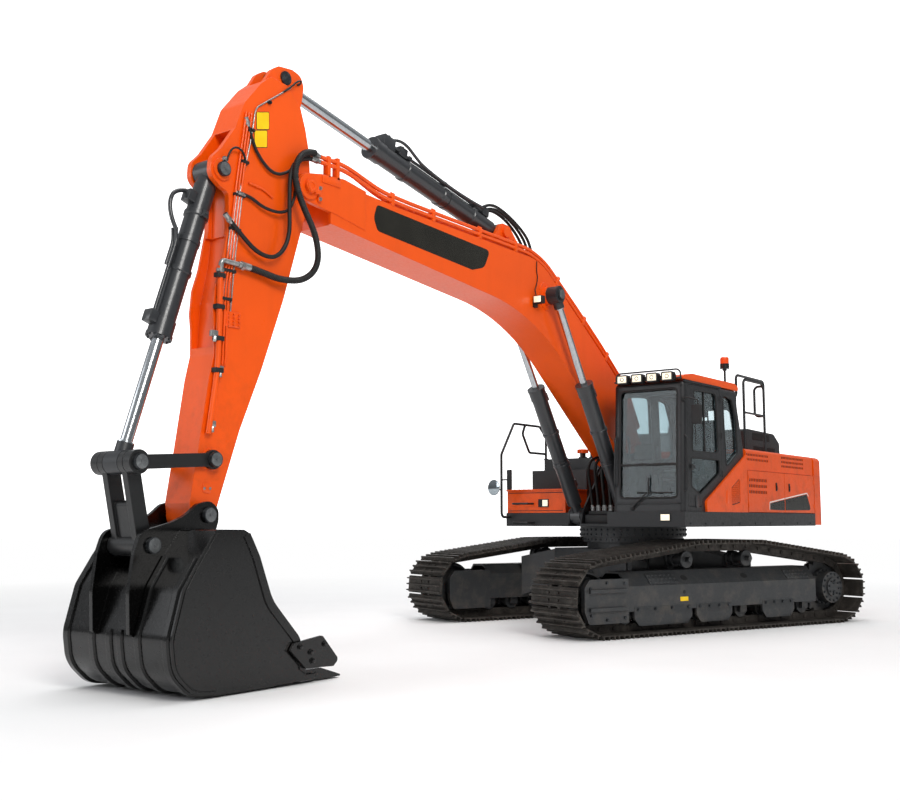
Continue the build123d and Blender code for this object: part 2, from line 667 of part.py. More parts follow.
nodes["arm"] = arm()
link_in = ARM_HALF + GAP
link_out = link_in + 38
top_pins = both(rod(ARM_EYE, PIN_R, TOP_SLOT, TOP_EAR) + rod(ARM_EYE, CAP_R, TOP_EAR, TOP_EAR + CAP_T / 2))
nodes["arm_pins"] = Compound([
    top_pins,
    pin_with_caps(CURL_BASE, ARM_HALF + 18),
    pin_with_caps(LINK_ARM, link_out + 5),
])


# Bucket links

def waisted(start, end, r_start, r_end, half_width):
    """The side face of a link: round ends, and a straight bar between them."""
    middle = make_face(Polyline(*bar_corners(start, end, half_width), close=True))
    return Pos(*start) * Circle(r_start) + Pos(*end) * Circle(r_end) + middle


def bar_corners(start, end, half_width):
    dx, dz = end[0] - start[0], end[1] - start[1]
    length = math.hypot(dx, dz)
    out = (-dz / length * half_width, dx / length * half_width)
    return [(start[0] + out[0], start[1] + out[1]), (end[0] + out[0], end[1] + out[1]),
            (end[0] - out[0], end[1] - out[1]), (start[0] - out[0], start[1] - out[1])]


side_links = []
for side in (1, -1):
    one = through(waisted(LINK_ARM, LINK_TOP, 78, 92, 54), *sorted((side * link_in, side * link_out)))
    one += rod(LINK_TOP, 92, *sorted((side * (link_in - 2), side * (BUCKET_EAR_OUT - 2))))
    one -= rod(LINK_ARM, PIN_R + RUN, -400, 400)
    one -= rod(LINK_TOP, PIN_R + FIT, -400, 400)
    side_links.append(one)
nodes["side_links"] = Compound(side_links)
# a short pin in each side link, because the pivot is open between them
link_pins = rod(LINK_TOP, PIN_R, link_in - 2, BUCKET_EAR_OUT - 2) + rod(LINK_TOP, CAP_R, BUCKET_EAR_OUT - 2, 268)
nodes["link_pin"] = both(link_pins)

H_IN = 92
H_OUT = 152


def h_link():
    legs = waisted(LINK_TOP, LINK_BUCKET, 92, 84, 62)
    piece = both(through(legs, H_IN, H_OUT))
    web_top = along(LINK_TOP, LINK_BUCKET, 330)
    web_low = along(LINK_TOP, LINK_BUCKET, 560)
    piece += through(waisted(web_top, web_low, 40, 40, 40), -H_IN - 5, H_IN + 5)
    piece += rod(LINK_BUCKET, 84, -BUCKET_EAR_IN + 5, BUCKET_EAR_IN - 5)
    piece -= rod(LINK_BUCKET, PIN_R + RUN, -400, 400)
    piece -= rod(LINK_TOP, PIN_R + RUN, -400, 400)
    return piece


nodes["h_link"] = h_link()


# Bucket

BUCKET_OUTER = (
    (7442, 1226, 0), (7716, 1228, 40), (7870, 1020, 150), (8015, 800, 200), (8112, 442, 250),
    (8076, 206, 250), (7902, 45, 220), (7700, 24, 100), (6911, 22, 0), (6757, 75, 0), (6834, 370, 150),
    (7140, 680, 400), (7280, 1020, 150), (7385, 1200, 60),
)
BUCKET_INNER = (
    (7100, 1201, 0), (7703, 1203, 30), (7849, 1007, 140), (7992, 790, 190), (8087, 440, 235),
    (8052, 216, 235), (7890, 71, 205), (7692, 49, 80), (6150, 49, 0), (6100, 800, 0),
)
BUCKET_EAR = (
    (7360, 1225, 0), (7338, 1290, 60), (7338, 1390, 90), (7430, 1450, 90), (7550, 1425, 90), (7660, 1340, 300),
    (7790, 1285, 300), (7930, 1250, 200), (8080, 1215, 110), (8135, 1060, 150), (8170, 760, 300),
    (8155, 470, 0), (8100, 440, 0), (8000, 800, 0), (7860, 1020, 0), (7716, 1228, 0),
)


def bucket():
    shell = slab(BUCKET_OUTER, -BUCKET_HALF, BUCKET_HALF)
    inside = BUCKET_HALF - BUCKET_PLATE
    shell -= slab(BUCKET_INNER, -inside, inside)
    shell += block(LIP_X, 7120, -BUCKET_HALF, BUCKET_HALF, 26, 72)
    # a notch in the top plate, which the arm's tip dips into when the bucket is curled
    shell -= block(7300, ARM_TIP[0] + 60, -BUCKET_EAR_IN, BUCKET_EAR_IN, 1190, 1240)
    for side in (1, -1):
        shell += slab(BUCKET_EAR, *sorted((side * BUCKET_EAR_IN, side * BUCKET_EAR_OUT)))
        # a thicker edge along the side plate's mouth
        edge = ((7385, 1200, 0), (7440, 1170, 0), (7345, 1005, 120), (7200, 640, 380), (6880, 320, 120),
                (6830, 120, 0), (6757, 75, 0), (6834, 370, 150), (7140, 680, 400), (7280, 1020, 150))
        shell += slab(edge, *sorted((side * (BUCKET_HALF - 5), side * (BUCKET_HALF + 10))))
    for y in (-BUCKET_HALF + 30, -330, 290, BUCKET_HALF - 70):
        # wear strips under the floor and up the back
        shell += block(7060, 7700, y, y + 40, 10, 26)
    shell -= rod(ARM_TIP, PIN_R + FIT, -400, 400)
    shell -= rod(LINK_BUCKET, PIN_R + FIT, -400, 400)
    return shell


nodes["bucket"] = bucket()
nodes["bucket_pins"] = Compound([
    pin_with_caps(ARM_TIP, BUCKET_EAR_OUT),
    pin_with_caps(LINK_BUCKET, BUCKET_EAR_OUT),
])


def tooth():
    """Adapter and point on the lip, about its own middle."""
    outline = ((TOOTH_TIP, 16, 0), (TOOTH_TIP, 30, 0), (LIP_X - 100, 105, 60), (LIP_X + 160, 99, 40),
               (LIP_X + 190, 72.5, 0), (LIP_X - 1, 72.5, 0), (LIP_X - 1, 20, 0), (LIP_X - 100, 10, 0))
    return slab(outline, -52, 52)


teeth = []
for i in range(TOOTH_COUNT):
    y = (i / (TOOTH_COUNT - 1) * 2 - 1) * (BUCKET_HALF - 82)
    teeth.append(shift_y(tooth(), y))
nodes["bucket_teeth"] = Compound(teeth)

CUTTER = ((6921, 334, 0), (6604, 370, 30), (6410, 165, 30), (6471, 114, 0), (6788, 125, 0), (6962, 278, 0))
cutter = slab(CUTTER, BUCKET_HALF + 10, BUCKET_HALF + 35)
nodes["side_cutters"] = Compound([cutter, mirror(cutter, about=Plane.XZ)])


# Cab

CAB_OUTLINE = (
    (1505, CAB_FLOOR, 0), (1430, CAB_TOP, 60), (-120, CAB_TOP, 60), (-110, 2750, 200), (-276, 2210, 60),
    (-276, CAB_FLOOR, 0),
)
DOOR_OUTLINE = (
    (1400, 1465, 30), (1365, 2880, 60), (450, 2890, 60), (440, 1790, 60), (1000, 1550, 60), (1050, 1465, 30),
)
UPPER_WINDOW = ((1265, 2100, 60), (1180, 2830, 80), (560, 2840, 80), (520, 2110, 60))
LOWER_WINDOW = ((1290, 2030, 50), (500, 2035, 50), (495, 1865, 50), (1070, 1600, 60), (1300, 1690, 50))
REAR_WINDOW = ((360, 2850, 60), (90, 2810, 80), (-40, 2560, 200), (-55, 2140, 60), (300, 1940, 60))


def grow(outline, by):
    """The face of an outline, grown by a seam all round."""
    return offset(side_face(outline), by)


def window(y0, y1, z0, z1, radius, x0, x1):
    """A cut along X with rounded corners."""
    face = Pos((y0 + y1) / 2, (z0 + z1) / 2) * RectangleRounded(y1 - y0, z1 - z0, radius)
    return extrude(Plane.YZ.offset(x0) * face, amount=x1 - x0)


def front_lean(z):
    """x of the cab's front face at a height."""
    return 1505 - (z - CAB_FLOOR) * 75 / (CAB_TOP - CAB_FLOOR)


HINGE_R = 9
DOOR_HINGE = (437, CAB_Y[1] + 6)
DOOR_KNUCKLES = (1860, 2330, 2780)


def knuckle(at, z, radius, height=70):
    """An upright round hinge barrel at an (x, y)."""
    return Pos(at[0], at[1], z) * Cylinder(radius, height)


def cab():
    y0, y1 = CAB_Y
    outer = side_face(CAB_OUTLINE)
    shell = through(outer, y0, y1)
    posts = shell.edges().filter_by(lambda e: e.length > 1200 and e.bounding_box().size.Y < 1)
    shell = fillet([e for e in posts if e.center().X > 1300], 55)
    shell -= through(offset(outer, -CAB_WALL), y0 + CAB_WALL, y1 - CAB_WALL)
    # the door's opening and the windows
    shell -= through(grow(DOOR_OUTLINE, SEAM), y1 - DOOR_T - RUN, y1 + 5)
    shell -= through(grow(DOOR_OUTLINE, -28), y1 - CAB_WALL - 5, y1 + 5)
    shell -= through(side_face(REAR_WINDOW), y1 - CAB_WALL - 5, y1 + 5)
    shell -= through(side_face(UPPER_WINDOW), y0 - 5, y0 + CAB_WALL + 5)
    shell -= through(side_face(REAR_WINDOW), y0 - 5, y0 + CAB_WALL + 5)
    shell -= window(y0 + 90, y1 - 90, 1560, 2830, 60, 1300, 1600)
    shell -= window(y0 + 110, y1 - 110, 2150, 2700, 60, -400, 0)
    for z in DOOR_KNUCKLES:
        shell -= knuckle(DOOR_HINGE, z, HINGE_R + 4, 84)
    # a ledge under the front window and a rain gutter over the door
    front = front_lean(1500)
    shell += block(front - 20, front + 14, y0 + 60, y1 - 60, 1488, 1512)
    gutter = ((1430, 2905, 0), (1430, 2925, 0), (420, 2932, 0), (420, 2912, 0))
    shell += slab(gutter, y1 - 10, y1 + 12)
    return shell


nodes["cab"] = cab()


def cab_door():
    y1 = CAB_Y[1]
    door = through(side_face(DOOR_OUTLINE), y1 - DOOR_T, y1)
    door -= through(side_face(UPPER_WINDOW), y1 - DOOR_T - 5, y1 + 5)
    door -= through(side_face(LOWER_WINDOW), y1 - DOOR_T - 5, y1 + 5)
    for z in DOOR_KNUCKLES:
        door += knuckle(DOOR_HINGE, z, HINGE_R)
        door += block(DOOR_HINGE[0], DOOR_HINGE[0] + 60, y1 - 4, y1 + 5, z - 30, z + 30)
    # the handle
    door += block(1240, 1330, y1 - 5, y1 + 24, 1900, 1935)
    return door


nodes["cab_door"] = cab_door()

door_glass_y = CAB_Y[1] - 25
nodes["door_glass"] = Compound([
    through(side_face(w), door_glass_y, door_glass_y + GLASS_T) for w in (UPPER_WINDOW, LOWER_WINDOW)
])


def pane_x(y0, y1, z0, z1, radius, x_low, x_high):
    """A front or rear pane; it leans from x_low at its foot to x_high at its top."""
    lean = math.atan2(x_high - x_low, z1 - z0)
    middle = Plane(origin=((x_low + x_high) / 2, (y0 + y1) / 2, (z0 + z1) / 2),
                   x_dir=(0, 1, 0), z_dir=(math.cos(lean), 0, -math.sin(lean)))
    height = math.hypot(x_high - x_low, z1 - z0)
    return extrude(middle * RectangleRounded(y1 - y0, height, radius), amount=GLASS_T)


y0, y1 = CAB_Y
panes = [
    pane_x(y0 + 90, y1 - 90, 1562, 2828, 60, front_lean(1562) - 25, front_lean(2828) - 25),
    through(side_face(REAR_WINDOW), y1 - 30, y1 - 30 + GLASS_T),
    through(side_face(REAR_WINDOW), y0 + 24, y0 + 24 + GLASS_T),
    through(side_face(UPPER_WINDOW), y0 + 24, y0 + 24 + GLASS_T),
]
nodes["cab_glass"] = Compound(panes)

ROOF_OUTLINE = (
    (1445, CAB_TOP, 0), (1445, 2960, 0), (1400, 2990, 60), (1180, ROOF_TOP, 200), (-60, ROOF_TOP, 60),
    (-165, 2975, 50),
    (-140, CAB_TOP, 0),
)
nodes["cab_roof"] = slab(ROOF_OUTLINE, CAB_Y[0] + 10, CAB_Y[1] - 10)


def seat():
    cushion = slab(((150, 1790, 20), (640, 1800, 40), (650, 1900, 45), (540, 1925, 60), (150, 1905, 20)), 760, 1240)
    back = slab(((150, 1880, 0), (260, 1880, 30), (140, 2560, 60), (20, 2560, 60)), 780, 1220)
    head = slab(((60, 2600, 40), (150, 2600, 40), (130, 2800, 40), (40, 2800, 40)), 880, 1120)
    stem = block(70, 110, 960, 1040, 2555, 2605)
    base = block(200, 560, 820, 1180, CAB_FLOOR + CAB_WALL, 1800)
    return cushion + back + head + stem + base


nodes["seat"] = seat()


def controls():
    """Side consoles with their levers, and the pedals."""
    piece = None
    for y in (700, 1300):
        console = block(120, 700, y - 55, y + 55, 1850, 2010)
        console += block(220, 420, y - 40, y + 40, CAB_FLOOR + CAB_WALL, 1850)
        console += Pos(640, y, 2070) * Cylinder(14, 130)
        console += Pos(640, y, 2150) * Cylinder(26, 90)
        piece = [console] if piece is None else piece + [console]
    for y in (900, 1000):
        pedal = block(1180, 1260, y - 35, y + 35, CAB_FLOOR + CAB_WALL, 1475)
        pedal += Pos(1215, y, 1640) * Cylinder(12, 340)
        pedal += Pos(1215, y, 1830) * Cylinder(22, 60)
        piece.append(pedal)
    return Compound(piece)


nodes["cab_controls"] = controls()


# Body behind the cab

def louvres(x0, x1, z0, z1, count, side, depth=14):
    """Flat slots pressed into a side panel."""
    pitch = (z1 - z0) / count
    slots = []
    for i in range(count):
        low = z0 + i * pitch
        y_out = side * (HALF_WIDTH + 1)
        slots.append(block(x0, x1, *sorted((y_out, y_out - side * depth)), low + pitch * 0.3, low + pitch * 0.8))
    return slots


COWL_VENTS = ((-1030, -300, 2045, 2165, 2), (-2330, -1500, 2000, 2175, 3))


def body():
    """Cowl over the engine bay: top, upper sides and inner walls, open below the groove."""
    x0, x1 = BODY_X
    y_out = HALF_WIDTH - 15
    outer = block(x0, x1, -y_out, y_out, BODY_GROOVE, BODY_TOP)
    outer = fillet([e for e in outer.edges().filter_by(Axis.X) if e.center().Z > BODY_TOP - 1], 45)
    outer -= block(x0 - 5, x1 - PANEL_T, -y_out + 40, y_out - 40, BODY_GROOVE - 5, BODY_TOP - 45)
    for group in COWL_VENTS:
        for slot in louvres(*group, 1, 30):
            outer -= slot
    outer -= block(HOOD_X[0] + 60, HOOD_X[1] - 60, HOOD_Y[0] + 60, HOOD_Y[1] - 60, BODY_TOP - 60, BODY_TOP + 60)
    # the tanks stand in the right front corner
    outer -= block(TANK_BACK, x1 + 5, -y_out - 5, -555, BODY_GROOVE - 5, BODY_TOP + 5)
    # posts, which the doors close against
    y_post = HALF_WIDTH - PANEL_T - RUN
    for x in (x1 - 60, -1580, x0):
        outer += block(x, x + 60, y_post - 40, y_post, SKIRT_Z, BODY_GROOVE + 10)
    for x in (TANK_BACK - 60, x0):
        outer += block(x, x + 60, -y_post, -y_post + 40, SKIRT_Z, BODY_GROOVE + 10)
    wall = block(x1 - 30, x1, -550, y_out - 45, SKIRT_Z - 100, BODY_TOP - 20)
    wall -= block(x1 - 35, x1 + 5, 485, HALF_WIDTH, SKIRT_Z - 105, SKIRT_Z)
    wall -= block(x1 - 35, x1 + 5, -HALF_WIDTH, -485, SKIRT_Z - 105, SKIRT_Z)
    for side in (1, -1):
        slot = sorted((side * (MAIN_PLATE_IN - 2), side * (MAIN_PLATE_OUT + 2)))
        wall -= block(x1 - 35, x1 + 5, *slot, SKIRT_Z - 105, 2000)
    return outer + wall


TANK_BACK = -1155
HOOD_X = (-2650, -1600)
HOOD_Y = (-850, 950)
HOOD_TOP = 2600
nodes["body"] = body()

DOOR_LOW = SKIRT_Z + SEAM
DOOR_HIGH = BODY_GROOVE - SEAM


def bay_door(x0, x1, side, hinge_x, vents):
    """A service door with its hinge barrels at hinge_x and pressed louvres."""
    y_out = side * HALF_WIDTH
    door = block(x0, x1, *sorted((y_out, y_out - side * PANEL_T)), DOOR_LOW, DOOR_HIGH)
    inward = 1 if hinge_x < (x0 + x1) / 2 else -1
    for z in (DOOR_LOW + 90, DOOR_HIGH - 90):
        door += knuckle((hinge_x, y_out + side * 2), z, HINGE_R - 1)
        leaf = sorted((hinge_x, hinge_x + inward * 40))
        door += block(*leaf, *sorted((y_out - side * 3, y_out + side * 3)), z - 30, z + 30)
    for slot in vents:
        door -= slot
    return door


# groups of louvres as x0, x1, z0, z1 and count
FRONT_DOOR_VENTS = (-920, -330, 1620, 1850, 3)
RIGHT_DOOR_VENTS = (-2500, -1600, 1560, 1860, 5)
nodes["left_door_front"] = bay_door(-1545, -300, 1, BODY_X[1] - 18, louvres(*FRONT_DOOR_VENTS, 1))
nodes["left_door_rear"] = bay_door(BODY_X[0] + 5, -1555, 1, BODY_X[0] + 3, [])
nodes["right_door"] = bay_door(BODY_X[0] + 5, TANK_BACK - 5, -1, BODY_X[0] + 3, louvres(*RIGHT_DOOR_VENTS, -1))

WEDGE_OUTLINE = ((BODY_X[1] + 1, SKIRT_Z, 0), (940, SKIRT_Z, 0), (955, 1525, 60), (BODY_X[1] + 1, 2130, 0))
wedge = slab(WEDGE_OUTLINE, CAB_Y[1], HALF_WIDTH)
# a raised frame round the small grille
wedge -= slab(((-40, 1520, 30), (230, 1480, 30), (230, 1700, 30), (-40, 1830, 30)), HALF_WIDTH - 8, HALF_WIDTH + 5)
nodes["left_wedge"] = wedge


def engine_hood():
    outline = ((HOOD_X[0] - 180, BODY_TOP + RUN, 0), (HOOD_X[1], BODY_TOP + RUN, 0), (HOOD_X[1], HOOD_TOP - 20, 40),
               (HOOD_X[0] + 40, HOOD_TOP - 40, 60), (HOOD_X[0] - 180, HOOD_TOP - 170, 40))
    face = side_face(outline)
    lid = through(face, *HOOD_Y)
    inner = slab(((HOOD_X[0] - 168, BODY_TOP - 5, 0), (HOOD_X[1] - 12, BODY_TOP - 5, 0),
                  (HOOD_X[1] - 12, HOOD_TOP - 32, 0), (HOOD_X[0] + 38, HOOD_TOP - 52, 0),
                  (HOOD_X[0] - 168, HOOD_TOP - 178, 0)), HOOD_Y[0] + 12, HOOD_Y[1] - 12)
    hood = lid - inner
    hinge = (HOOD_X[1] + 8, BODY_TOP + 10)
    for y in (HOOD_Y[0] + 150, HOOD_Y[1] - 150):
        hood += rod(hinge, HINGE_R - 1, y - 60, y + 60)
        hood += block(HOOD_X[1] - 10, hinge[0], y - 50, y + 50, hinge[1] - 7, hinge[1] + 7)
    # raised frames of the two side grilles
    for x0, x1, z0, z1 in ((-2440, -1800, 2430, 2540), (-2640, -1830, 2290, 2350)):
        hood -= block(x0, x1, HOOD_Y[1] - 6, HOOD_Y[1] + 5, z0, z1)
    return hood


nodes["engine_hood"] = engine_hood()
nodes["engine"] = block(-2500, -1510, -350, 350, DECK_Z + DECK_T, 2050)


def counterweight():
    disc = Pos(0, 0, (TAIL_BOTTOM + BODY_TOP) / 2) * Cylinder(TAIL_R, BODY_TOP - TAIL_BOTTOM)
    weight = disc & block(-4000, TAIL_FRONT, -HALF_WIDTH, HALF_WIDTH, 0, 4000)
    corners = weight.edges().filter_by(Axis.Z).sort_by(Axis.X)[:2]
    weight = fillet(corners, 160)
    top = [e for e in weight.edges() if e.center().Z > BODY_TOP - 1 and e.center().X < TAIL_FRONT - 20]
    weight = fillet(top, 70)
    # the groove that the grip line of the cowl runs on in, and the two lifting wells
    weight -= block(-4000, TAIL_FRONT + 1, HALF_WIDTH - 6, HALF_WIDTH + 5, BODY_GROOVE - 6, BODY_GROOVE + 6)
    for y in (-700, 700):
        weight -= Pos(TAIL_FRONT - 260, y, BODY_TOP - 40) * Cylinder(70, 90)
    return weight


nodes["counterweight"] = counterweight()

# Tanks and box on the right, with the walk between them and the boom
def tank(x0, x1, y0, y1, z1):
    """A closed box of plate on the deck."""
    wall = 8
    inner = block(x0 + wall, x1 - wall, y0 + wall, y1 - wall, SKIRT_Z + wall, z1 - wall)
    return block(x0, x1, y0, y1, SKIRT_Z, z1) - inner


box_piece = tank(230, RIGHT_FRONT, -HALF_WIDTH + 20, -560, 1690)
# its lid stands proud, with a tread on it
box_piece += block(236, RIGHT_FRONT + 12, -HALF_WIDTH + 8, -548, 1690, 1712)
nodes["front_box"] = box_piece
fuel = tank(-95, 230, -HALF_WIDTH + 65, -560, 1985)
fuel += Pos(90, -1010, 1995) * Cylinder(55, 30) + Pos(90, -1010, 2020) * Cylinder(42, 30)
nodes["fuel_tank"] = fuel
OIL_TOP = 2160
oil = tank(-1150, -100, -HALF_WIDTH + 55, -560, OIL_TOP)
oil += Pos(-260, -900, OIL_TOP + 10) * Cylinder(60, 26) + Pos(-260, -900, OIL_TOP + 45) * Cylinder(40, 60)
nodes["oil_tank"] = oil


# Handrails, lamps and beacon

def rail(points, radius, bend):
    """A round rail through points, with its corners bent to one radius."""
    path = FilletPolyline(*points, radius=bend)
    start = Plane(origin=path @ 0, z_dir=path % 0)
    return sweep(start * Circle(radius), path=path)


RAIL_R = 17


def rail_foot(x, y, z):
    """The round flange under a rail's post."""
    return Pos(x, y, z + 6) * Cylinder(34, 12)


rail_y = HALF_WIDTH - 80
RAIL_TOP = 3152
RAIL_BACK = -1105


def tube_run(points):
    """A rail with bends as large as its short runs allow."""
    return rail(points, RAIL_R, 60)


left_rail = tube_run(
    ((RAIL_BACK, rail_y, BODY_TOP + 5), (RAIL_BACK, rail_y, RAIL_TOP), (-190, rail_y, RAIL_TOP),
     (-190, rail_y, 2870), (-118, rail_y, 2870)))
left_rail += tube_run(
    ((-430, rail_y - 2, BODY_TOP + 5), (-430, rail_y - 2, RAIL_TOP - 34), (-1040, rail_y - 2, RAIL_TOP - 30),
     (RAIL_BACK, rail_y - 2, RAIL_TOP - 100)))
left_rail += tube_run(
    ((RAIL_BACK, rail_y, RAIL_TOP - 60), (RAIL_BACK, rail_y - 130, RAIL_TOP - 60),
     (RAIL_BACK, rail_y - 130, 2690), (RAIL_BACK, rail_y, 2690)))
left_rail += Pos((RAIL_BACK - 415) / 2, rail_y, 2690) * Rot(0, 90, 0) * Cylinder(14, -RAIL_BACK - 415)
for x in (RAIL_BACK, -430):
    left_rail += rail_foot(x, rail_y, BODY_TOP)
nodes["left_handrail"] = left_rail

side_y = -(HALF_WIDTH - 50)
step_x = RIGHT_FRONT + 185
right_rail = tube_run(
    ((RIGHT_FRONT + RUN, side_y, 1345), (step_x, side_y, 1345), (step_x, side_y, 2180), (660, side_y, 2617),
     (15, side_y, 2617), (-150, side_y, 2480), (-150, side_y, OIL_TOP + 5)))
right_rail += tube_run(
    ((380, side_y, 2617), (450, side_y, 2490), (280, side_y, 2237), (-150, side_y, 2237)))
right_rail += rail_foot(-150, side_y, OIL_TOP)
# a second rail on the inner side of the steps, and the mirror's stalk
inner_y = -700
right_rail += tube_run(
    ((-150, inner_y, OIL_TOP + 5), (-150, inner_y, 2750), (-900, inner_y, 2750), (-900, inner_y, OIL_TOP + 5)))
for x in (-150, -900):
    right_rail += rail_foot(x, inner_y, OIL_TOP)
nodes["right_handrail"] = right_rail


def lamp_bar():
    """Four work lamps in round-cornered housings on a bar over the front window."""
    bar_piece = block(1445 + RUN, 1500, 580, 1440, CAB_TOP + RUN, CAB_TOP + 16)
    for i in range(4):
        housing = block(1470, 1560, -72, 72, 2912, 3018)
        housing = fillet(housing.edges().filter_by(Axis.X), 18)
        housing -= block(1548, 1570, -60, 60, 2924, 3006)
        bar_piece += shift_y(housing, 715 + i * 195)
    # the hoop over the lamps
    hoop = rail(((1462, 590, CAB_TOP + 4), (1462, 590, 3050), (1462, 1430, 3050), (1462, 1430, CAB_TOP + 4)), 10, 60)
    return bar_piece + hoop


nodes["cab_lamps"] = lamp_bar()


def beacon():
    x, y = -100, CAB_Y[1] - 160
    foot = block(x - 36, x + 60, y - 40, y + 40, ROOF_TOP + RUN, ROOF_TOP + 18)
    post = Pos(x, y, ROOF_TOP + 110) * Cylinder(14, 200)
    nut = Pos(x, y, ROOF_TOP + 195) * Cylinder(26, 24)
    base = Pos(x, y, 3258) * Cylinder(58, 66)
    dome = Pos(x, y, 3335) * Cylinder(55, 92)
    dome = fillet(dome.edges().filter_by(GeomType.CIRCLE).sort_by(Axis.Z)[-1:], 24)
    return foot + post + nut + base + dome


nodes["beacon"] = beacon()

os.makedirs("parts", exist_ok=True)
for name, piece in nodes.items():
    export_step(piece, f"parts/{name}.step")
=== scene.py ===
import math

import bmesh
import bpy
from mathutils import Matrix, Vector


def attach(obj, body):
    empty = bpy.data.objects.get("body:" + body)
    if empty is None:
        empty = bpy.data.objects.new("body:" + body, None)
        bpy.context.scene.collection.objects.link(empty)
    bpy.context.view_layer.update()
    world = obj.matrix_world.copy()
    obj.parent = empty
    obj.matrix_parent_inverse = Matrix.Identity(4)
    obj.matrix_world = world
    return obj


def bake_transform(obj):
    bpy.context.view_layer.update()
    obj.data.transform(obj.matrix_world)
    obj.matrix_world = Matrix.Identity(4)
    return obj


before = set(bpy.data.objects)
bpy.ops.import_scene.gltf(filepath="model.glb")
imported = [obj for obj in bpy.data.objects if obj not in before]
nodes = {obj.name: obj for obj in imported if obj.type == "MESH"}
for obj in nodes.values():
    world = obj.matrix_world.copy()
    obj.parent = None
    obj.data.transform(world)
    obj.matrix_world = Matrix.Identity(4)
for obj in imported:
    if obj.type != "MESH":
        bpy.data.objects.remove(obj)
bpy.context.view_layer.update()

# Camera, fitted to the photograph
CAMERA_AT = (13.300, 7.071, 1.289)
CAMERA_YAW = 217.24
CAMERA_PITCH = 6.2
CAMERA_LENS = 44.65
SENSOR = 36.0
SWING = math.radians(-19.6)   # how the undercarriage is turned at rest

# Pivots in the plane of the boom, as (x, z)
BOOM_TIP = (6.373, 4.246)
ARM_TIP = (7.444, 1.337)
ARM_EYE = (6.575, 5.205)
ARM_BASE = (3.165, 4.515)
LIFT_EYE = (2.430, 3.894)
LIFT_BASE = (0.814, 1.356)
CURL_BASE = (7.312, 4.176)
LINK_ARM = (7.362, 1.777)
LINK_TOP = (8.110, 1.729)
LINK_BUCKET = (7.973, 1.110)

# Half widths and faces that pieces sit on
BOOM_SIDE = 0.215
ARM_SIDE = 0.150
DOOR_SIDE = 1.490
CAB_SIDE = 1.460
LIFT_Y = 0.34          # middle of each lift cylinder
TRACK_Y = 1.34         # middle of each track
FRAME_SIDE = 1.600     # outer face of a track frame
AXLE_X = 2.02          # sprocket and idler, ahead of and behind the swing axis
WHEEL_Z = 0.44
SHOES = 48
RING_UPPER = 0.689     # just under the faces of the swing ring's two halves
RING_LOWER = 0.649
RING_BOLTS = 48
SMOOTH_UNDER = 38      # degrees between faces that are shaded as one surface

ARM_SKIN = 0.149       # just inside the arm's side, where clips and blocks start
LOCK_FOOT = 0.222      # where the fork's locks start, to either side
LATCH_FOOT = 1.496     # where a latch's handle starts, just inside its base plate

AHEAD = (1, 0, 0)
BEHIND = (-1, 0, 0)
LEFT = (0, 1, 0)
UP = (0, 0, 1)


# Materials

def srgb(hexa):
    """Linear colour from a six-digit hex string."""
    values = [int(hexa[i:i + 2], 16) / 255 for i in (0, 2, 4)]
    return tuple(v / 12.92 if v <= 0.04045 else ((v + 0.055) / 1.055) ** 2.4 for v in values) + (1.0,)


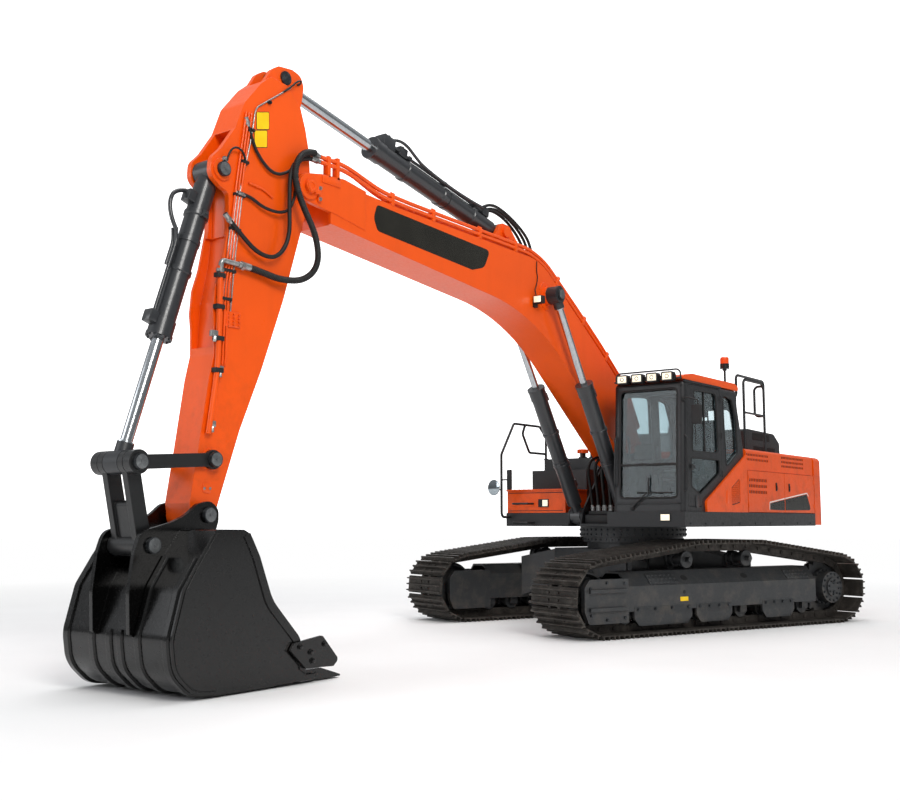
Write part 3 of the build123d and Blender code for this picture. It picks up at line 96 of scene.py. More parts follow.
class Shader:
    """A material with one Principled shader and short calls for the nodes in front of it."""

    def __init__(self, name, colour, roughness=0.5, metallic=0.0, **sockets):
        self.material = bpy.data.materials.new(name)
        self.material.use_nodes = True
        self.tree = self.material.node_tree
        self.shader = self.tree.nodes["Principled BSDF"]
        self.shader.inputs["Base Color"].default_value = colour
        self.shader.inputs["Roughness"].default_value = roughness
        self.shader.inputs["Metallic"].default_value = metallic
        for key, value in sockets.items():
            self.shader.inputs[key.replace("_", " ")].default_value = value
        self.place = self.tree.nodes.new("ShaderNodeTexCoord").outputs["Object"]

    def node(self, kind, **values):
        made = self.tree.nodes.new(kind)
        for key, value in values.items():
            setattr(made, key, value)
        return made

    def link(self, output, target):
        self.tree.links.new(output, target)

    def feed(self, node, *values):
        """Link or set a node's first inputs."""
        for socket, value in zip(node.inputs, values):
            if isinstance(value, bpy.types.NodeSocket):
                self.link(value, socket)
            else:
                socket.default_value = value
        return node.outputs[0]

    def noise(self, scale, detail=4.0, roughness=0.55, stretch=None):
        texture = self.node("ShaderNodeTexNoise")
        texture.inputs["Scale"].default_value = scale
        texture.inputs["Detail"].default_value = detail
        texture.inputs["Roughness"].default_value = roughness
        source = self.place
        if stretch:
            mapping = self.node("ShaderNodeMapping")
            mapping.inputs["Scale"].default_value = stretch
            self.link(source, mapping.inputs["Vector"])
            source = mapping.outputs["Vector"]
        self.link(source, texture.inputs["Vector"])
        return texture.outputs["Fac"]

    def voronoi(self, scale):
        texture = self.node("ShaderNodeTexVoronoi")
        texture.inputs["Scale"].default_value = scale
        self.link(self.place, texture.inputs["Vector"])
        return texture.outputs["Distance"]

    def ramp(self, source, stops):
        """Grey or colour ramp from (position, colour or grey) stops."""
        made = self.node("ShaderNodeValToRGB")
        band = made.color_ramp
        while len(band.elements) < len(stops):
            band.elements.new(0.5)
        for element, (position, value) in zip(band.elements, stops):
            element.position = position
            element.color = value if isinstance(value, tuple) else (value, value, value, 1)
        self.link(source, made.inputs["Fac"])
        return made.outputs["Color"]

    def mix(self, factor, first, second, blend="MIX"):
        made = self.node("ShaderNodeMix", data_type="RGBA", blend_type=blend)
        for socket, value in ((made.inputs[0], factor), (made.inputs[6], first), (made.inputs[7], second)):
            if isinstance(value, bpy.types.NodeSocket):
                self.link(value, socket)
            else:
                socket.default_value = value
        return made.outputs[2]

    def span(self, source, low, high):
        """0 at and under low, 1 at and above high."""
        made = self.node("ShaderNodeMapRange")
        made.inputs["From Min"].default_value = low
        made.inputs["From Max"].default_value = high
        self.link(source, made.inputs["Value"])
        return made.outputs[0]

    def height(self):
        split = self.node("ShaderNodeSeparateXYZ")
        self.link(self.place, split.inputs[0])
        return split.outputs["Z"]

    def math(self, operation, *values):
        return self.feed(self.node("ShaderNodeMath", operation=operation), *values)

    def near(self, points, radius):
        """1 within a radius of any of the points in space, else 0."""
        found = None
        for point in points:
            gap = self.node("ShaderNodeVectorMath", operation="DISTANCE")
            self.link(self.place, gap.inputs[0])
            gap.inputs[1].default_value = point
            hit = self.math("LESS_THAN", gap.outputs["Value"], radius)
            found = hit if found is None else self.math("MAXIMUM", found, hit)
        return found

    def colour(self, output):
        self.link(output, self.shader.inputs["Base Color"])
        return self

    def rough(self, output):
        self.link(output, self.shader.inputs["Roughness"])
        return self

    def bump(self, output, strength, distance, edge=0.0):
        """Fine relief, over edges rounded by a small radius where one is given."""
        made = self.node("ShaderNodeBump")
        made.inputs["Strength"].default_value = strength
        made.inputs["Distance"].default_value = distance
        self.link(output, made.inputs["Height"])
        if self.shader.inputs["Normal"].is_linked:
            self.link(self.shader.inputs["Normal"].links[0].from_socket, made.inputs["Normal"])
        elif edge:
            eased = self.node("ShaderNodeBevel", samples=4)
            eased.inputs["Radius"].default_value = edge
            self.link(eased.outputs["Normal"], made.inputs["Normal"])
        self.link(made.outputs["Normal"], self.shader.inputs["Normal"])
        return self


def paint(name, hexa, roughness=0.32, coat=0.45, vary=0.10, dirt=None, dirt_low=None, peel=0.03, edge=0.006,
          shine=0.5):
    """Sprayed paint: faint clouding, orange peel, fine scuffs and dust towards the ground."""
    base = srgb(hexa)
    deeper = tuple(c * (1 - vary) for c in base[:3]) + (1,)
    made = Shader(name, base, roughness, Coat_Weight=coat, Coat_Roughness=0.12, Specular_IOR_Level=shine)
    colour = made.mix(made.ramp(made.noise(0.9, 5), [(0.35, 0.0), (0.7, 1.0)]), base, deeper)
    streaks = made.ramp(made.noise(7, 6, 0.6, stretch=(1, 1, 0.12)), [(0.5, 0.0), (0.8, 0.22)])
    colour = made.mix(streaks, colour, tuple(c * 0.72 for c in base[:3]) + (1,))
    if dirt:
        grime = made.ramp(made.noise(5.5, 9, 0.68), [(0.48, 0.0), (0.72, 0.6)])
        grime = made.math("MULTIPLY", grime, made.span(made.height(), dirt_low[1], dirt_low[0]))
        colour = made.mix(grime, colour, srgb(dirt))
    made.colour(colour)
    scuffs = made.noise(38, 6, 0.7)
    made.rough(made.ramp(scuffs, [(0.3, roughness * 0.8), (0.75, min(1.0, roughness * 1.45))]))
    made.bump(made.noise(230, 2), peel, 0.002, edge)
    return made


def worn_steel(name, hexa, bright, roughness=0.5, metallic=0.6, scale=9.0, edge=0.0):
    """Bare or rubbed steel: brighter where a coarse noise has worn it."""
    made = Shader(name, srgb(hexa), roughness, metallic)
    worn = made.ramp(made.noise(scale, 8, 0.62), [(0.46, 0.0), (0.68, 0.8)])
    fine = made.noise(70, 6, 0.7)
    colour = made.mix(worn, srgb(hexa), srgb(bright))
    made.colour(made.mix(made.ramp(fine, [(0.45, 0.0), (0.8, 0.35)]), colour, srgb("1d1b1a")))
    made.rough(made.ramp(fine, [(0.25, roughness * 0.75), (0.75, roughness * 1.3)]))
    made.bump(made.noise(120, 5), 0.12, 0.003, edge)
    return made.material


def rod_chrome(name, eyes, radius):
    """Hard chrome on the shaft, and dark paint on the eye round each of the points."""
    made = Shader(name, srgb("c9ccce"), 0.14, 1.0)
    eye = made.near(eyes, radius)
    streaks = made.noise(60, 3, 0.5, stretch=(1, 1, 0.2))
    bright = made.mix(made.ramp(streaks, [(0.4, 0.0), (0.8, 0.5)]), srgb("b9bdc0"), srgb("8f9498"))
    made.colour(made.mix(eye, bright, srgb("26282b")))
    polish = made.ramp(streaks, [(0.3, 0.10), (0.7, 0.24)])
    made.rough(made.mix(eye, polish, (0.42, 0.42, 0.42, 1)))
    made.link(made.math("SUBTRACT", 1.0, eye), made.shader.inputs["Metallic"])
    made.bump(made.noise(140, 3), 0.02, 0.001)
    return made.material


def rubber(name, hexa="161616", roughness=0.55):
    made = Shader(name, srgb(hexa), roughness, Specular_IOR_Level=0.35)
    fine = made.noise(260, 3)
    made.colour(made.mix(made.ramp(made.noise(14, 6), [(0.45, 0.0), (0.8, 0.5)]), srgb(hexa),
                         srgb("2d2b29")))
    made.rough(made.ramp(fine, [(0.3, roughness * 0.8), (0.7, roughness * 1.2)]))
    made.bump(fine, 0.15, 0.001)
    return made.material


def glazing(name, hexa, roughness=0.02):
    made = Shader(name, srgb(hexa), roughness, Transmission_Weight=1.0, IOR=1.35)
    film = made.ramp(made.noise(2.2, 5), [(0.4, roughness), (0.8, roughness + 0.05)])
    made.rough(film)
    tint = made.ramp(made.noise(1.2, 3), [(0.3, 0.0), (0.8, 1.0)])
    base = srgb(hexa)
    made.colour(made.mix(tint, base, tuple(c * 0.92 for c in base[:3]) + (1,)))
    return made.material


def plastic(name, hexa, roughness=0.5, grain=400, relief=0.2):
    made = Shader(name, srgb(hexa), roughness)
    cells = made.voronoi(grain)
    base = srgb(hexa)
    lighter = tuple(min(1, c * 1.25 + 0.004) for c in base[:3]) + (1,)
    made.colour(made.mix(made.ramp(made.noise(6, 5), [(0.4, 0.0), (0.75, 1.0)]), base, lighter))
    made.rough(made.ramp(cells, [(0.2, roughness * 0.85), (0.8, roughness * 1.15)]))
    made.bump(cells, relief, 0.0006)
    return made.material


def cloth(name, hexa):
    made = Shader(name, srgb(hexa), 0.85)
    made.shader.inputs["Sheen Weight"].default_value = 0.25
    wave = made.node("ShaderNodeTexWave", bands_direction="DIAGONAL")
    wave.inputs["Scale"].default_value = 160
    made.link(made.place, wave.inputs["Vector"])
    weave = wave.outputs["Fac"]
    base = srgb(hexa)
    lighter = tuple(min(1, c * 1.7 + 0.01) for c in base[:3]) + (1,)
    made.colour(made.mix(weave, base, lighter))
    made.bump(weave, 0.5, 0.001)
    return made.material


def lens(name, hexa, glow):
    """A lamp's fluted lens with a faint glow that is painted light: a painted reflection standing in for a
    bright reflector behind it.
    """
    made = Shader(name, srgb(hexa), 0.18, Coat_Weight=0.6, Emission_Strength=glow)
    wave = made.node("ShaderNodeTexWave", wave_type="BANDS", bands_direction="Y")
    wave.inputs["Scale"].default_value = 26
    made.link(made.place, wave.inputs["Vector"])
    flutes = wave.outputs["Fac"]
    base = srgb(hexa)
    darker = tuple(c * 0.62 for c in base[:3]) + (1,)
    made.colour(made.mix(made.ramp(flutes, [(0.2, 0.0), (0.9, 1.0)]), darker, base))
    # painted light: the emission colour gives the lens the glow of a lit reflector
    made.link(made.mix(made.ramp(made.noise(9, 2), [(0.35, 0.0), (0.7, 1.0)]), darker, base),
              made.shader.inputs["Emission Color"])
    made.bump(flutes, 0.4, 0.002)
    return made.material


def beacon_dome(name, hexa, socket, seam):
    """Amber plastic above a height and a black socket under it."""
    made = Shader(name, srgb(hexa), 0.2, Coat_Weight=0.7)
    wave = made.node("ShaderNodeTexWave", wave_type="BANDS", bands_direction="Z")
    wave.inputs["Scale"].default_value = 30
    made.link(made.place, wave.inputs["Vector"])
    amber = made.mix(made.ramp(wave.outputs["Fac"], [(0.2, 0.0), (0.9, 1.0)]), srgb(hexa), srgb("c93c04"))
    made.colour(made.mix(made.math("GREATER_THAN", made.height(), seam), srgb(socket), amber))
    made.rough(made.ramp(made.noise(40, 3), [(0.3, 0.15), (0.7, 0.3)]))
    return made.material


ORANGE = paint("orange_paint", "ef5500", 0.34, 0.18, 0.10, dirt="7c3312", dirt_low=(0.5, 3.0),
               shine=0.35).material
GREY = paint("frame_paint", "303234", 0.46, 0.15, 0.22, dirt="5d564d", dirt_low=(0.1, 1.2)).material
CAB_DARK = paint("cab_paint", "1d1e20", 0.40, 0.10, 0.15, shine=0.4).material
CYLINDER = paint("cylinder_paint", "2a2c2f", 0.32, 0.3, 0.18, edge=0.004).material
BLACK = paint("bucket_paint", "040404", 0.22, 0.30, 0.3, dirt="1a1715", dirt_low=(0.0, 0.6), peel=0.05,
              edge=0.008, shine=0.28).material
LINK = paint("link_paint", "18191a", 0.36, 0.2, 0.2, edge=0.008, shine=0.4).material
SHOE = worn_steel("shoe_steel", "37332f", "57524c", 0.60, 0.4, edge=0.004)
PIN = worn_steel("pin_steel", "34373a", "5d6063", 0.38, 0.7, 22)
SILVER = worn_steel("plated_steel", "9a9c9b", "c2c3c0", 0.30, 0.85, 30)
CAP = worn_steel("cap_steel", "6b6e70", "86898a", 0.34, 0.6, 26)
GLASS = glazing("cab_glass", "b6c6ca")
SEAT = cloth("seat_cloth", "26272a")
PLASTIC = plastic("trim_plastic", "17181a")
MATT = plastic("matt_black", "0f0f10", 0.6, 300)
BEACON_SPLIT = 3.291   # height of the seam between the socket and the dome
AMBER = beacon_dome("beacon_amber", "ff5a08", "0c0c0d", BEACON_SPLIT)
HOSE = rubber("hose_rubber")
# the lamp lenses glow faintly: painted light in place of a bright reflector
LENS = lens("lamp_lens", "f6ecd4", 0.9)
MIRROR = worn_steel("mirror_face", "aab4ba", "b8c0c5", 0.06, 1.0, 4)
YELLOW = plastic("label_yellow", "f5c400", 0.35, 500, 0.05)
PANEL = plastic("panel_film", "17150c", 0.25, 500, 0.04)
WHITE = plastic("edge_film", "e6e4de", 0.4, 500, 0.05)

# A slot name for each material, which done() looks up for each piece and then drops
SLOTS = {material.name: slot for slot, materials in {
    "orange": (ORANGE,), "dark": (GREY, CAB_DARK, CYLINDER), "black": (BLACK,), "pins": (PIN, CAP, SHOE),
    "chrome": (SILVER, MIRROR), "plastic": (PLASTIC, MATT, HOSE, PANEL, WHITE), "glass": (LENS,),
    "amber": (YELLOW,)}.items() for material in materials}

LIFT_ENDS = [(LIFT_EYE[0], y, LIFT_EYE[1]) for y in (-LIFT_Y, LIFT_Y)]
for name, material in {
    "boom": ORANGE, "arm": ORANGE, "body": ORANGE, "left_wedge": ORANGE, "left_door_front": ORANGE,
    "left_door_rear": ORANGE, "right_door": ORANGE, "counterweight": ORANGE, "front_box": ORANGE,
    "cab_roof": ORANGE, "carbody": GREY, "swing_ring_lower": GREY, "swing_ring_upper": GREY,
    "track_frame_left": GREY, "track_frame_right": GREY, "sprockets": GREY, "idlers": GREY,
    "final_drives": GREY, "track_rollers": GREY, "carrier_rollers": GREY, "deck": CAB_DARK,
    "cab": CAB_DARK, "cab_door": CAB_DARK, "engine_hood": CAB_DARK, "engine": GREY, "fuel_tank": CAB_DARK,
    "oil_tank": CAB_DARK, "lift_cylinders": CYLINDER, "arm_cylinder": CYLINDER, "bucket_cylinder": CYLINDER,
    "side_links": LINK, "h_link": LINK, "left_handrail": CAB_DARK, "right_handrail": CAB_DARK,
    "cab_lamps": CAB_DARK, "track_left": SHOE, "track_right": SHOE, "bucket": BLACK,
    "bucket_teeth": BLACK, "side_cutters": BLACK, "deck_pins": PIN, "boom_pins": ORANGE, "arm_pins": PIN,
    "bucket_pins": PIN, "link_pin": PIN,
    "lift_rods": rod_chrome("lift_rod_chrome", LIFT_ENDS, 0.172),
    "arm_rod": rod_chrome("arm_rod_chrome", [(ARM_EYE[0], 0, ARM_EYE[1])], 0.165),
    "bucket_rod": rod_chrome("bucket_rod_chrome", [(LINK_TOP[0], 0, LINK_TOP[1])], 0.165),
    "cab_glass": GLASS, "door_glass": GLASS, "seat": SEAT, "cab_controls": PLASTIC, "beacon": AMBER,
}.items():
    if name in nodes:
        nodes[name].data.materials.clear()
        nodes[name].data.materials.append(material)


# Shapes

def around(count, shift=0.0):
    """Angles spaced evenly round a circle."""
    return [2 * math.pi * (k + shift) / count for k in range(count)]


def eased(first, corner, last, steps):
    """Points of a smooth bend from one point to another that a corner pulls towards itself."""
    return [first * (1 - t) ** 2 + corner * (2 * t * (1 - t)) + last * t ** 2
            for t in (k / steps for k in range(steps + 1))]


def round_corners(outline, steps=5):
    """Points of a closed outline from rows of two coordinates and a corner radius."""
    rows = [(Vector((a, b)), r) for a, b, r in outline]
    points = []
    for i, (here, radius) in enumerate(rows):
        back = rows[i - 1][0] - here
        on = rows[(i + 1) % len(rows)][0] - here
        if radius <= 0:
            points.append(tuple(here))
            continue
        half = back.angle(on) / 2
        reach = min(radius / math.tan(half), 0.48 * back.length, 0.48 * on.length)
        first = here + back.normalized() * reach
        last = here + on.normalized() * reach
        points += [tuple(point) for point in eased(first, here, last, steps)]
    return points


def bent(points, bend=0.08, steps=5):
    """A steel pipe's line: straight runs with short bends at the corners."""
    rows = [Vector(p) for p in points]
    line = [rows[0]]
    for i in range(1, len(rows) - 1):
        back, on = rows[i - 1] - rows[i], rows[i + 1] - rows[i]
        reach = min(bend, 0.45 * back.length, 0.45 * on.length)
        line += eased(rows[i] + back.normalized() * reach, rows[i], rows[i] + on.normalized() * reach,
                      steps)
    return line + [rows[-1]]


def flexible(points, resolution=10):
    """A hose's line: one smooth NURBS spline with the points as its controls."""
    curve = bpy.data.curves.new("route", "CURVE")
    curve.dimensions = "3D"
    curve.resolution_u = resolution
    spline = curve.splines.new("NURBS")
    spline.points.add(len(points) - 1)
    for point, at in zip(spline.points, points):
        point.co = (*at, 1)
    spline.order_u = 3
    spline.use_endpoint_u = True
    holder = bpy.data.objects.new("route", curve)
    mesh = bpy.data.meshes.new_from_object(holder)
    line = [v.co.copy() for v in mesh.vertices]
    bpy.data.objects.remove(holder)
    bpy.data.meshes.remove(mesh)
    bpy.data.curves.remove(curve)
    return line


def resampled(line, step):
    """The same line with its points one step apart."""
    made = [line[0].copy()]
    left = step
    for a, b in zip(line, line[1:]):
        run = (b - a).length
        at = 0.0
        while run - at >= left and run > 0:
            at += left
            made.append(a.lerp(b, at / run))
            left = step
        left -= run - at
    return made


class Build:
    """Gathers small shapes in one mesh, which becomes one piece."""

    def __init__(self):
        self.mesh = bmesh.new()

    def bevel(self, edges, offset):
        return bmesh.ops.bevel(self.mesh, geom=edges, offset=offset, segments=2, affect="EDGES",
                               profile=0.5)

    def box(self, low, high, bevel=0.003, turn=None, about=None):
        """A box with eased edges between two opposite corners; turn is a rotation about a point."""
        low, high = tuple(map(min, low, high)), tuple(map(max, low, high))
        size = Vector(high) - Vector(low)
        middle = (Vector(high) + Vector(low)) / 2
        place = Matrix.Translation(middle) @ Matrix.Diagonal((*size, 1))
        verts = bmesh.ops.create_cube(self.mesh, size=1.0, matrix=place)["verts"]
        if bevel:
            edges = list({e for v in verts for e in v.link_edges})
            cut = self.bevel(edges, min(bevel, min(size) * 0.3))
            verts = list({v for f in cut["faces"] for v in f.verts} | {v for v in verts if v.is_valid})
        if turn:
            centre = Vector(about) if about else middle
            for v in verts:
                v.co = centre + turn @ (v.co - centre)
        return self

    def disc(self, at, axis, radius, height, sides=24, top=None, bevel=0.0):
        """A round or many-sided solid that stands on a point and rises along an axis."""
        axis = Vector(axis).normalized()
        turn = axis.to_track_quat("Z", "Y").to_matrix().to_4x4()
        place = Matrix.Translation(Vector(at) + axis * height / 2) @ turn
        made = bmesh.ops.create_cone(self.mesh, cap_ends=True, segments=sides, radius1=radius,
                                     radius2=radius if top is None else top, depth=height, matrix=place)
        if bevel:
            far = Vector(at) + axis * height
            rim = [e for e in {e for v in made["verts"] for e in v.link_edges}
                   if all(abs((v.co - far).dot(axis)) < 1e-5 for v in e.verts)]
            self.bevel(rim, bevel)
        return self

    def skin(self, a, b):
        """Faces between two closed loops of points."""
        for k in range(len(a)):
            n = (k + 1) % len(a)
            self.mesh.faces.new((a[k], a[n], b[n], b[k]))

    def ring(self, at, axis, outer, inner, height, sides=32):
        """A flat ring on a point."""
        axis = Vector(axis).normalized()
        turn = axis.to_track_quat("Z", "Y").to_matrix()
        loops = []
        section = ((outer, 0), (outer, height * 0.8), (outer - height * 0.2, height), (inner, height),
                   (inner, 0))
        for radius, level in section:
            loops.append([self.mesh.verts.new(Vector(at) + turn @ Vector((
                radius * math.cos(t), radius * math.sin(t), level))) for t in around(sides)])
        for a, b in zip(loops, loops[1:] + loops[:1]):
            self.skin(a, b)
        return self

    def plate(self, points, at, u, v, thick, bevel=0.0):
        """A flat plate from 2-D points, laid on a plane through a point and raised by its thickness."""
        u, v = Vector(u).normalized(), Vector(v).normalized()
        normal = u.cross(v)
        base = [self.mesh.verts.new(Vector(at) + u * a + v * b) for a, b in points]
        top = [self.mesh.verts.new(p.co + normal * thick) for p in base]
        self.mesh.faces.new(list(reversed(base)))
        lid = self.mesh.faces.new(top)
        self.skin(base, top)
        if bevel:
            self.bevel(list(lid.edges), bevel)
        return self

    def side_plate(self, outline, y0, y1, bevel=0.002):
        """A plate from rows of (x, z, corner radius), whose outer face is at y1."""
        points = round_corners(outline)
        if y1 > y0:
            return self.plate([(-x, z) for x, z in points], (0, y0, 0), BEHIND, UP, y1 - y0, bevel)
        return self.plate(points, (0, y0, 0), AHEAD, UP, y0 - y1, bevel)

    def strap(self, points, thick, y0, y1):
        """A strip that follows (x, z) points, raised to their left by its thickness."""
        rows = []
        for i, point in enumerate(points):
            here = Vector(point)
            run = Vector(points[min(i + 1, len(points) - 1)]) - Vector(points[max(i - 1, 0)])
            out = Vector((-run.y, run.x)).normalized() * thick
            under, over, ease = here - out * 0.3, here + out, thick * 0.6
            rows.append([self.mesh.verts.new((p.x, y, p.y)) for p, y in (
                (under, y0), (over, y0 + ease), (over, y1 - ease), (under, y1))])
        for a, b in zip(rows, rows[1:]):
            self.skin(a, b)
        self.mesh.faces.new(rows[0])
        self.mesh.faces.new(list(reversed(rows[-1])))
        return self

    def tube(self, line, radius, sides=10, rib=0.0, rib_step=0.016):
        """A round tube along a line of points, with ribs if it is a guarded hose."""
        line = [Vector(p) for p in line]
        if rib:
            line = resampled(line, rib_step / 2)
        up = Vector((0.03, 1, 0.05)).normalized()
        loops = []
        for i, here in enumerate(line):
            run = (line[min(i + 1, len(line) - 1)] - line[max(i - 1, 0)]).normalized()
            side = run.cross(up)
            if side.length < 1e-4:
                side = run.orthogonal()
            side.normalize()
            up = side.cross(run).normalized()
            r = radius + (rib if rib and i % 2 else 0)
            loops.append([self.mesh.verts.new(here + (side * math.cos(t) + up * math.sin(t)) * r)
                          for t in around(sides)])
        for a, b in zip(loops, loops[1:]):
            for k in range(sides):
                n = (k + 1) % sides
                self.mesh.faces.new((a[k], b[k], b[n], a[n]))
        self.mesh.faces.new(loops[0])
        self.mesh.faces.new(list(reversed(loops[-1])))
        return self

    def pipe(self, points, radius, bend=0.08, sides=10):
        return self.tube(bent(points, bend), radius, sides)

    def hose(self, points, radius, sides=12, rib=0.0):
        return self.tube(flexible(points), radius, sides, rib)

    def bolt(self, at, axis, size=0.012, height=0.009):
        """A hexagon head on a washer."""
        axis = Vector(axis).normalized()
        self.disc(at, axis, size * 1.35, height * 0.25, 16)
        return self.disc(Vector(at) + axis * height * 0.25, axis, size, height, 6, bevel=size * 0.12)

    def fitting(self, at, axis, radius, length):
        """A hose end: ferrule, hexagon nut and collar."""
        axis = Vector(axis).normalized()
        at = Vector(at)
        self.disc(at, axis, radius * 1.12, length * 0.5, 20, bevel=radius * 0.15)
        self.disc(at + axis * length * 0.5, axis, radius * 1.35, length * 0.25, 6, bevel=radius * 0.1)
        return self.disc(at + axis * length * 0.75, axis, radius * 0.95, length * 0.25, 20,
                         bevel=radius * 0.1)

    def block(self, at, half, y0, y1, tall, bevel, turn):
        """A turned box round a point of the boom's plane, from one width to another."""
        return self.box((at[0] - half, y0, at[2] - tall), (at[0] + half, y1, at[2] + tall), bevel, turn)

    def done(self, name, material, body="house", across=None, slot=None):
        """Turn what was gathered into a piece that rides a body, or, if it crosses a joint, one left
        unparented where it stands.
        """
        bmesh.ops.recalc_face_normals(self.mesh, faces=self.mesh.faces)
        mesh = bpy.data.meshes.new(name)
        self.mesh.to_mesh(mesh)
        self.mesh.free()
        for face in mesh.polygons:
            face.use_smooth = True
        mesh.set_sharp_from_angle(angle=math.radians(SMOOTH_UNDER))
        piece = bpy.data.objects.new(name, mesh)
        mesh.materials.append(material)
        bpy.context.scene.collection.objects.link(piece)
        if across:
            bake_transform(piece)
        else:
            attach(piece, body)
        slot or SLOTS[material.name]


UNDER = Matrix.Rotation(SWING, 3, "Z")


# Hoses and pipes of the working arm

def in_plane(points, y):
    """Points of a run that lies in one plane, from (x, z) rows."""
    return [(x, y, z) for x, z in points]


def arm_pipes():
    """Grease lines, bare steel and painted, on the arm's near face, with their clips."""
    silver, painted, clips = Build(), Build(), Build()
    run = ((6.546, 5.115), (6.956, 4.808), (7.006, 4.511), (7.117, 4.031), (7.150, 3.760), (7.190, 3.40),
           (7.222, 2.995))
    silver.pipe(in_plane(run, 0.161), 0.007, 0.05)
    for shift, first in ((0.030, 3), (0.058, 4), (-0.030, 3)):
        silver.pipe(in_plane([(x + shift, z) for x, z in run[first:]], 0.160), 0.006, 0.05)
    for x in (7.005, 7.035, 7.065):
        run = ((x, 4.74), (x + 0.100, 4.05), (x + 0.120, 3.86), (x + 0.165, 3.50), (x + 0.215, 3.22),
               (x + 0.235, 2.55))
        painted.pipe(in_plane(run, 0.164), 0.010, 0.08)
    run = ((7.325, 3.36), (7.328, 2.60), (7.345, 2.42), (7.412, 1.98))
    painted.pipe(in_plane(run, 0.178), 0.024, 0.12, 14)
    painted.pipe(in_plane(((7.02, 4.13), (6.86, 4.12), (6.74, 4.07)), 0.162), 0.010, 0.05)
    for x, z, wide in ((6.995, 4.60, 0.05), (7.075, 4.30, 0.09), (7.125, 4.00, 0.12), (7.165, 3.70, 0.12),
                       (7.225, 3.34, 0.15), (7.262, 3.10, 0.15), (6.80, 4.905, 0.035)):
        clips.box((x - wide / 2, ARM_SKIN, z - 0.013), (x + wide / 2, 0.178, z + 0.013), 0.004)
        clips.bolt((x + wide / 2 - 0.012, 0.178, z), LEFT, 0.008, 0.007)
    for z in (3.28, 3.02, 2.76, 2.50):
        clips.box((7.285, ARM_SKIN, z - 0.02), (7.372, 0.206, z + 0.02), 0.006)
    # the bank that the grease lines end in
    bank = Build()
    bank.box((7.085, ARM_SKIN, 2.875), (7.265, 0.166, 3.005), 0.004)
    for k in range(4):
        z = 2.895 + k * 0.030
        for x in (7.108, 7.165, 7.222):
            bank.disc((x, 0.166, z), LEFT, 0.009, 0.016, 6, bevel=0.001)
    silver.done("arm_steel_lines", SILVER, "arm")
    painted.done("arm_painted_lines", ORANGE, "arm")
    clips.done("arm_line_clips", MATT, "arm")
    bank.done("arm_grease_bank", ORANGE, "arm")


def arm_fittings():
    """Elbow, hose ends and the two blank yellow plates."""
    metal = Build()
    metal.pipe(((7.13, 0.190, 3.402), (7.322, 0.190, 3.408), (7.325, 0.180, 3.33)), 0.022, 0.07, 14)
    metal.fitting((7.02, 0.193, 3.398), (1, 0, 0.03), 0.028, 0.13)
    metal.ring((7.325, 0.178, 3.335), (0, 0, -1), 0.034, 0.022, 0.03)
    metal.fitting((7.300, 0.190, 3.800), (-0.62, 0, -0.55), 0.020, 0.10)
    metal.fitting((7.150, 0.170, 4.018), (-1, 0, -0.12), 0.016, 0.08)
    metal.fitting((7.070, 0.168, 4.690), (-0.35, 0, -0.9), 0.016, 0.08)
    for x, z in ((7.437, 2.793), (7.372, 2.51), (7.44, 2.06)):
        metal.box((x - 0.095, ARM_SKIN, z - 0.022), (x - 0.035, 0.196, z + 0.028), 0.006)
        metal.disc((x - 0.065, 0.185, z - 0.065), UP, 0.014, 0.045, 6, bevel=0.002)
    metal.done("arm_fittings", SILVER, "arm")
    plates, edges = Build(), Build()
    for points in (((6.941, 4.780), (6.790, 4.826), (6.786, 4.665), (6.937, 4.622)),
                   ((6.960, 4.612), (6.809, 4.656), (6.806, 4.499), (6.956, 4.458))):
        rows = round_corners([(-x, z, 0.012) for x, z in points])
        edges.plate(rows, (0, ARM_SIDE, 0), BEHIND, UP, 0.0012)
        cx, cz = (sum(row[k] for row in rows) / len(rows) for k in (0, 1))
        inner = [(cx + (a - cx) * 0.93, cz + (b - cz) * 0.93) for a, b in rows]
        plates.plate(inner, (0, ARM_SIDE + 0.0012, 0), BEHIND, UP, 0.0008)
    edges.done("arm_plate_edges", MATT, "arm")
    plates.done("arm_plates", YELLOW, "arm")


def tip_hoses():
    """Hoses that loop from the boom's tip to the arm, left unparented where they cross the arm's joint."""
    guarded, plain = Build(), Build()
    guarded.hose([(6.30, 0.235, 4.570), (6.42, 0.240, 4.560), (6.545, 0.250, 4.44), (6.585, 0.262, 4.26),
                  (6.50, 0.280, 4.04), (6.33, 0.290, 3.80), (6.28, 0.280, 3.54), (6.44, 0.255, 3.375),
                  (6.70, 0.225, 3.345), (6.90, 0.200, 3.385), (7.04, 0.193, 3.398)], 0.026, 14, 0.0035)
    plain.hose([(6.30, 0.200, 4.52), (6.44, 0.205, 4.50), (6.60, 0.225, 4.36), (6.615, 0.235, 4.05),
                (6.60, 0.235, 3.72), (6.74, 0.225, 3.52), (6.94, 0.205, 3.53), (7.13, 0.195, 3.66),
                (7.300, 0.190, 3.800)], 0.019, 12)
    plain.hose([(6.30, 0.170, 4.545), (6.42, 0.185, 4.53), (6.52, 0.200, 4.40), (6.515, 0.215, 4.12),
                (6.62, 0.210, 3.94), (6.86, 0.185, 3.94), (7.02, 0.172, 4.02), (7.15, 0.170, 4.018)],
               0.014, 12)
    plain.hose([(6.28, 0.145, 4.57), (6.40, 0.165, 4.50), (6.56, 0.185, 4.34), (6.75, 0.180, 4.26),
                (6.93, 0.170, 4.39), (7.02, 0.168, 4.56), (7.07, 0.168, 4.69)], 0.014, 12)
    guarded.done("tip_hose_guarded", HOSE, across=("boom", "arm", (6.42, 0.2, 4.56), (7.10, 0.2, 3.40)))
    plain.done("tip_hoses", HOSE, across=("boom", "arm", (6.44, 0.2, 4.50), (7.16, 0.2, 4.02)))


